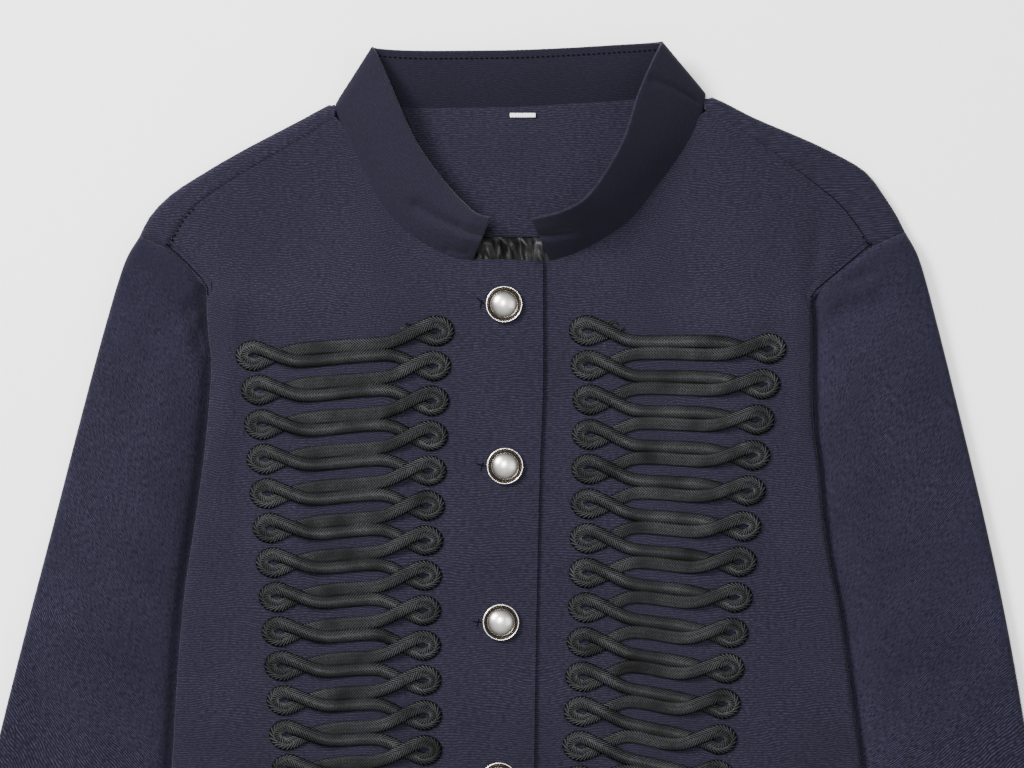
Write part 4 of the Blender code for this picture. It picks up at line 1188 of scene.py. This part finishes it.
def along_paths(name, paths, tree, finishes, sizes=()):
    """A plain mesh that a tree makes along paths, each a list of points in mm."""
    verts, edges = [], []
    for path in paths:
        first = len(verts)
        verts += [Vector(point) * MM for point in path]
        edges += [(first + i, first + i + 1) for i in range(len(path) - 1)]
    mesh = bpy.data.meshes.new(name)
    mesh.from_pydata(verts, edges, [])
    bend = mesh.attributes.new("bend", "FLOAT", "POINT")
    for i in range(2, len(verts) - 2):
        before, after = verts[i] - verts[i - 2], verts[i + 2] - verts[i]
        length = max((before.length + after.length) / 2, 0.0001)
        turned = math.atan2(before.cross(after).z, before.x * after.x + before.y * after.y)
        bend.data[i].value = max(-BEND_MOST, min(BEND_MOST, turned / length))
    thing = bpy.data.objects.new(name, mesh)
    bpy.context.scene.collection.objects.link(thing)
    modifier = thing.modifiers.new("follow", "NODES")
    modifier.node_group = tree
    finishes = list(finishes)
    for item in tree.interface.items_tree:
        if item.in_out == "INPUT" and item.socket_type == "NodeSocketMaterial":
            modifier[item.identifier] = finishes.pop(0)
        elif item.in_out == "INPUT" and item.name in dict(sizes):
            modifier[item.identifier] = dict(sizes)[item.name]
    bpy.context.view_layer.update()
    graph = bpy.context.evaluated_depsgraph_get()
    made = bpy.data.meshes.new_from_object(thing.evaluated_get(graph), depsgraph=graph)
    bpy.data.objects.remove(thing, do_unlink=True)
    return made


def braid_points(side):
    """The braid's path down one front: out, y and lift, one row of loops after another."""
    outer_y, outer_step, inner_y, inner_step = BRAID_RISE[side]
    path = []

    def loop(centre, y, way):
        """Round a loop from its lower side to its upper side. way is 1 at the outer loops."""
        for angle in LOOP_ANGLES:
            turn = math.radians(angle)
            lift = BRAID_OVER * 0.45 if angle == LOOP_ANGLES[-1] else 0.0
            path.append((centre + way * LOOP_LONG * math.cos(turn), y + LOOP_HIGH * math.sin(turn), lift))

    for row in range(BRAID_ROWS):
        outer_edge, inner_edge = follow(BRAID_EDGES[side], row)
        y_inner, y_next = inner_y - inner_step * row, inner_y - inner_step * (row + 1)
        y_outer = outer_y - outer_step * row
        inner_centre = inner_edge + LOOP_EDGE + LOOP_LONG
        outer_centre = outer_edge - LOOP_EDGE - LOOP_LONG
        y_mid = (y_inner + y_next) / 2
        straight_in, straight_out = inner_centre + INNER_STRAIGHT, outer_centre - OUTER_STRAIGHT
        crossing_in, crossing_out = inner_centre + LOOP_TO_CROSSING, outer_centre - LOOP_TO_CROSSING
        if row == 0:
            path.append((crossing_in + 5.5, y_inner + 1.0, 0.0))
            path.append((crossing_in, y_inner - 0.6, 0.0))
        loop(inner_centre, y_inner, -1)
        path.append((inner_centre + 4.2, y_inner + 3.4, BRAID_OVER))
        path.append((crossing_in + 6.5, y_inner - 3.6, BRAID_OVER))
        path.append((straight_in, y_mid + STRAND_HALF, 0.0))
        path.append((straight_out, y_outer + STRAND_HALF, 0.0))
        path.append((crossing_out, y_outer, 0.0))
        loop(outer_centre, y_outer, 1)
        path.append((outer_centre - 4.2, y_outer + 3.4, BRAID_OVER))
        path.append((outer_centre - 20.8, y_outer - 3.1, BRAID_OVER))
        path.append((straight_out, y_outer - STRAND_HALF, 0.0))
        if row < BRAID_ROWS - 1:
            path.append((straight_in, y_mid - STRAND_HALF, 0.0))
            path.append((crossing_in, y_next + 0.2, 0.0))
        else:
            share = BRAID_TAIL / (straight_out - straight_in)
            path.append((straight_in + BRAID_TAIL, y_mid + (y_outer - y_mid) * share - STRAND_HALF, 0.0))
    return path


def nearest_loop(side, spot):
    """How far out or in of the nearest row of loops a point of the braid is, in mm."""
    row = (BRAID_RISE[side][0] - spot.y) / BRAID_RISE[side][1]
    outer_edge, inner_edge = follow(BRAID_EDGES[side], min(max(row, 0.0), BRAID_ROWS))
    out = spot.x * side
    inside = LOOP_EDGE + LOOP_LONG
    return min(abs(out - inner_edge - inside), abs(out - outer_edge + inside))


def braid_line(side):
    """The middle of the braid's cord down one front, in mm, close enough for its smallest bend."""
    rows = by_length(braid_points(side))
    length = sum(math.dist(a[1:3], b[1:3]) for a, b in zip(rows, rows[1:]))
    count = int(length / 1.5)
    keys = [row[0] for row in rows]
    line, at = [], 0
    for i in range(count + 1):
        share = i / count
        while at < len(keys) - 2 and share > keys[at + 1]:
            at += 1
        near = rows[max(at - 2, 0) : at + 4]
        out, y, lift = follow(near, share)
        x = out * side
        line.append(Vector((x, y, lift)))
    loose = [soften((nearest_loop(side, spot) - 8.0) / 5.0) for spot in line]
    for _ in range(14):
        for i in range(1, len(line) - 1):
            line[i] = line[i].lerp((line[i - 1] + line[i + 1]) / 2, 0.5 * loose[i])
    return [(x, y, front_top(side, x, y) + CLOTH / 2 + CORD_THICK * 0.42 + lift) for x, y, lift in line]


def button_mesh():
    """All the buttons, each turned from one profile: a flat back, a bright rim, a groove and a dome."""
    # radius, height, share of darkening: tarnish in the groove, painted shade on the dome's sides and at
    # the rim's foot
    profile = [
        (0.0, 0.0, 0.0), (8.6, 0.0, 0.0), (9.5, 0.25, 0.3), (9.9, 0.9, 0.1), (9.9, 1.7, 0.0),
        (9.75, 2.2, 0.0), (9.4, 2.35, 0.0), (9.15, 2.1, 0.3), (8.95, 1.4, 0.9), (8.6, 1.0, 1.0),
        (8.2, 1.1, 1.0), (7.9, 1.5, 0.9), (7.5, 2.3, 0.75), (6.9, 3.1, 0.56), (6.0, 3.9, 0.38),
        (4.6, 4.7, 0.18), (3.0, 5.25, 0.05), (1.4, 5.5, 0.0), (0.0, 5.6, 0.0),
    ]
    steps = 64
    shape = bmesh.new()
    groove = shape.verts.layers.float.new("groove")
    for x, y in BUTTONS:
        base = front_top(RIGHT, x, y) + CLOTH / 2 + 0.1
        rings = []
        for radius, height, dark in profile:
            count = 1 if radius == 0.0 else steps
            ring = []
            for i in range(count):
                angle = 2 * math.pi * i / steps
                spot = Vector((x + radius * math.cos(angle), y + radius * math.sin(angle), base + height))
                vert = shape.verts.new(spot * MM)
                vert[groove] = dark
                ring.append(vert)
            rings.append(ring)
        for low, high in zip(rings, rings[1:]):
            for i in range(steps):
                j = (i + 1) % steps
                if len(low) == 1:
                    shape.faces.new((low[0], high[j], high[i]))
                elif len(high) == 1:
                    shape.faces.new((low[i], low[j], high[0]))
                else:
                    shape.faces.new((low[i], low[j], high[j], high[i]))
    bmesh.ops.recalc_face_normals(shape, faces=shape.faces)
    mesh = bpy.data.meshes.new("buttons")
    shape.to_mesh(mesh)
    shape.free()
    mesh.shade_smooth()
    return mesh


def label_mesh():
    """A folded strip of white tape, sewn flat."""
    half_wide, half_high = LABEL["width"] / 2, LABEL["height"] / 2
    base = FACING_HEIGHT + FACING_WALL / 2 + 0.5

    def place(across, down):
        x = LABEL["x"] - half_wide + 2 * half_wide * across
        y = LABEL["y"] + half_high - 2 * half_high * down
        return Vector((x, y, base + 0.5 + 0.25 * math.sin(math.pi * down) + 0.1 * math.sin(9 * across)))

    return cloth_mesh("label", place, shares(16), shares(6))


def collar_stitching():
    """The row of stitches under the top edge of the back collar's inner side."""
    line = []
    for i in range(121):
        across = COLLAR_STITCHED[0] + (COLLAR_STITCHED[1] - COLLAR_STITCHED[0]) * i / 120
        line.append(collar_point(across, 0.88) + Vector((0.0, -0.3, COLLAR_WALL / 2 + 0.1)))
    return line


def shoulder_stitching(side, first, last):
    """Stitches on the front along the shoulder seam, between two of its rows."""
    seam = by_number([(row[2] * side, row[3]) for row in SHOULDER[side]])
    line = []
    for i in range(40):
        x, y = follow(seam, (first + (last - first) * i / 39) / (len(SHOULDER[side]) - 1))
        line.append((x - 0.2 * side, y - 0.2, front_top(side, x, y) + CLOTH / 2 + 0.15))
    return line


def armhole_seam_shade_line(side):
    """The seam line down the armhole, from the shoulder to where the body folds over the sleeve. Its
    near-black stitches run together into one line: sewing and painted shadow of the seam.
    """
    place_flat, _, _ = front_patch(side)
    line = []
    for i in range(120):
        turned = [place_flat(1.0 + column / 4, i / 400) for column in range(4 * TURN_COLUMNS)]
        spot = max(turned, key=lambda point: point.x * side)
        if spot.y > ARMHOLE_OPEN_Y:
            line.append((spot.x + 0.9 * side, spot.y - 0.5, spot.z + CLOTH / 2))
    return line


def buttonhole_threads():
    """The stitched slit of each buttonhole, at the left of its button, with a loose end or two."""
    lines = []
    for i, (x, y) in enumerate(BUTTONS):
        tilt = 2.6 if i == 0 else 0.4 * math.sin(i * 2.0)
        start = Vector((x - 14.5, y + 0.6 + tilt))
        end = Vector((x - 10.2, y - 0.2))
        ends = [(start, end), (end + Vector((-2.6, -1.5)), end + Vector((-1.8, 1.5)))]
        for first, last in ends:
            run = [first.lerp(last, step / 8) for step in range(9)]
            lines.append([(px, py, front_top(RIGHT, px, py) + CLOTH / 2 + 0.15) for px, py in run])
    return lines


def knot_threads():
    """The frayed end of the cord, tied beside the first loop of the wearer's left front."""
    lines = []
    for i in range(8):
        radius = 1.2 + 1.1 * (i % 3)
        middle = Vector((KNOT_AT[0] + 0.7 * math.sin(i * 2.3), KNOT_AT[1] + 0.6 * math.cos(i * 1.9)))
        line = []
        for step in range(9):
            turn = i * 0.9 + step * 0.5
            x, y = middle.x + radius * math.cos(turn), middle.y + 0.8 * radius * math.sin(turn)
            line.append((x, y, front_top(LEFT, x, y) + CLOTH / 2 + 0.5 + 0.2 * (i % 4)))
        lines.append(line)
    return lines


def build_cloth():
    """Every cloth sheet, with its finish and its wall."""
    body_cloth = ribbed_cloth("body cloth")
    sides = ((RIGHT, "right"), (LEFT, "left"))
    add_sheet("back_panel", fine_back(), body_cloth, CLOTH, ["back"])
    for side, name in sides:
        front = fine_front(side)
        add_sheet(f"{name}_front", front, body_cloth, CLOTH, [f"front_{name}"])
    for side, name in sides:
        sleeve = fine_sleeve(side)
        cloth = ribbed_cloth(f"{name} sleeve cloth")
        add_sheet(f"{name}_sleeve", sleeve, cloth, CLOTH, [f"sleeve_{name}"])
    collar_cloth = ribbed_cloth("collar cloth")
    add_sheet("band_collar", fine_collar(), collar_cloth, COLLAR_WALL, ["collar"])
    facing = fine_facing()
    add_sheet("neck_facing", facing, body_cloth, FACING_WALL, ["back_neck_facing"])
    lining, satin = fine_lining(), satin_lining()
    add_sheet("satin_lining", lining, satin, LINING_WALL, ["lining"])
    tape = plain_thread("white label tape", (0.62, 0.62, 0.62), (0.82, 0.82, 0.82), 0.8)
    add_sheet("neck_label", label_mesh(), tape, TAPE_WALL, ["label"])


def build_trim():
    """The braid, the sewing that shows and the buttons."""
    thread = braid_thread("black braid thread", (0.0, 0.0, 0.0), (0.096, 0.098, 0.103))
    # The core is near-black: painted shade in the gaps between the plait's strands
    core = braid_thread("braid core in painted shade", (0.0, 0.0, 0.0), (0.005, 0.005, 0.0056))
    frayed = braid_thread("frayed thread", (0.001, 0.001, 0.001), (0.05, 0.05, 0.054))
    navy = plain_thread("dark navy thread", (0.0004, 0.0004, 0.0008), (0.002, 0.002, 0.0035), 0.9)
    cord = plaited_cord_tree()
    for side, name in ((RIGHT, "right"), (LEFT, "left")):
        mesh = along_paths(f"{name} braid", [braid_line(side)], cord, [thread, core])
        add_piece(f"{name}_braid", mesh, None, [f"braid_{name}"])
    top_rows = [collar_stitching(), shoulder_stitching(RIGHT, 0.1, 2.2), shoulder_stitching(LEFT, 0.1, 0.9)]
    armholes = [armhole_seam_shade_line(RIGHT), armhole_seam_shade_line(LEFT)]
    stitches = stitch_tree()
    # Piece, paths, finish, slot, and the stitches' length, pitch and thickness
    for name, rows, finish, slot, sizes in (
        ("braid_knot", knot_threads(), frayed, "braid", (2.0, 1.1, 0.8)),
        ("topstitching", top_rows, navy, "navy", (1.7, 2.7, 0.8)),
        # Stitches longer than their pitch, near-black: the armhole seam's sewing and its painted shadow
        ("armhole_seam_shade_lines", armholes, navy, "navy", (2.4, 1.6, 0.7)),
        ("buttonholes", buttonhole_threads(), navy, "navy", (1.6, 0.8, 0.6)),
    ):
        mesh = along_paths(name, rows, stitches, [finish], stitch_sizes(*sizes))
        add_piece(name, mesh, finish)
    button_nodes = [f"button_{i + 1}" for i in range(len(BUTTONS))]
    add_piece("buttons", button_mesh(), aged_silver(), button_nodes)


def add_stage():
    shape = bmesh.new()
    bmesh.ops.create_grid(shape, x_segments=1, y_segments=1, size=4.0)
    mesh = bpy.data.meshes.new("floor")
    shape.to_mesh(mesh)
    shape.free()
    floor = bpy.data.objects.new("floor", mesh)
    floor.location.z = -0.0003
    bpy.context.scene.collection.objects.link(floor)
    nodes = Nodes("pale floor")
    place = nodes.add("ShaderNodeTexCoord").outputs["Object"]
    colour = nodes.mix(nodes.noise(place, 30.0), BACKGROUND, tuple(part * 0.99 for part in BACKGROUND))
    mesh.materials.append(nodes.finish(0.9, colour))
    world = bpy.data.worlds.new("studio")
    world.use_nodes = True
    sky = world.node_tree
    light = sky.nodes["Background"]
    light.inputs[0].default_value = (1.0, 1.0, 1.0, 1.0)
    # Brighter overhead than at the horizon, as under a soft box
    way = put_node(sky, "ShaderNodeTexCoord").outputs["Generated"]
    up = put_node(sky, "ShaderNodeSeparateXYZ", {0: way}).outputs["Z"]
    power = put_node(sky, "ShaderNodeMapRange", {"Value": up, "To Min": 0.2, "To Max": 1.1})
    sky.links.new(power.outputs[0], light.inputs[1])
    bpy.context.scene.world = world
    for name, x, y, z, size, power in LIGHTS:
        light = bpy.data.lights.new(name, "AREA")
        light.size = size
        light.energy = power
        lamp = bpy.data.objects.new(name, light)
        lamp.location = (x, y, z)
        lamp.rotation_euler = (Vector((0, 0.17, 0)) - lamp.location).to_track_quat("-Z", "Y").to_euler()
        bpy.context.scene.collection.objects.link(lamp)


def add_camera():
    """Straight down over the photograph's middle, far enough away for a long lens."""
    camera = bpy.data.cameras.new("camera")
    camera.lens = LENS
    camera.sensor_width = SENSOR
    looker = bpy.data.objects.new("camera", camera)
    looker.location = Vector((*CAMERA_AT, CAMERA_HIGH + 6.0)) * MM
    bpy.context.scene.collection.objects.link(looker)
    bpy.context.scene.camera = looker


build_cloth()
build_trim()
add_stage()
add_camera()
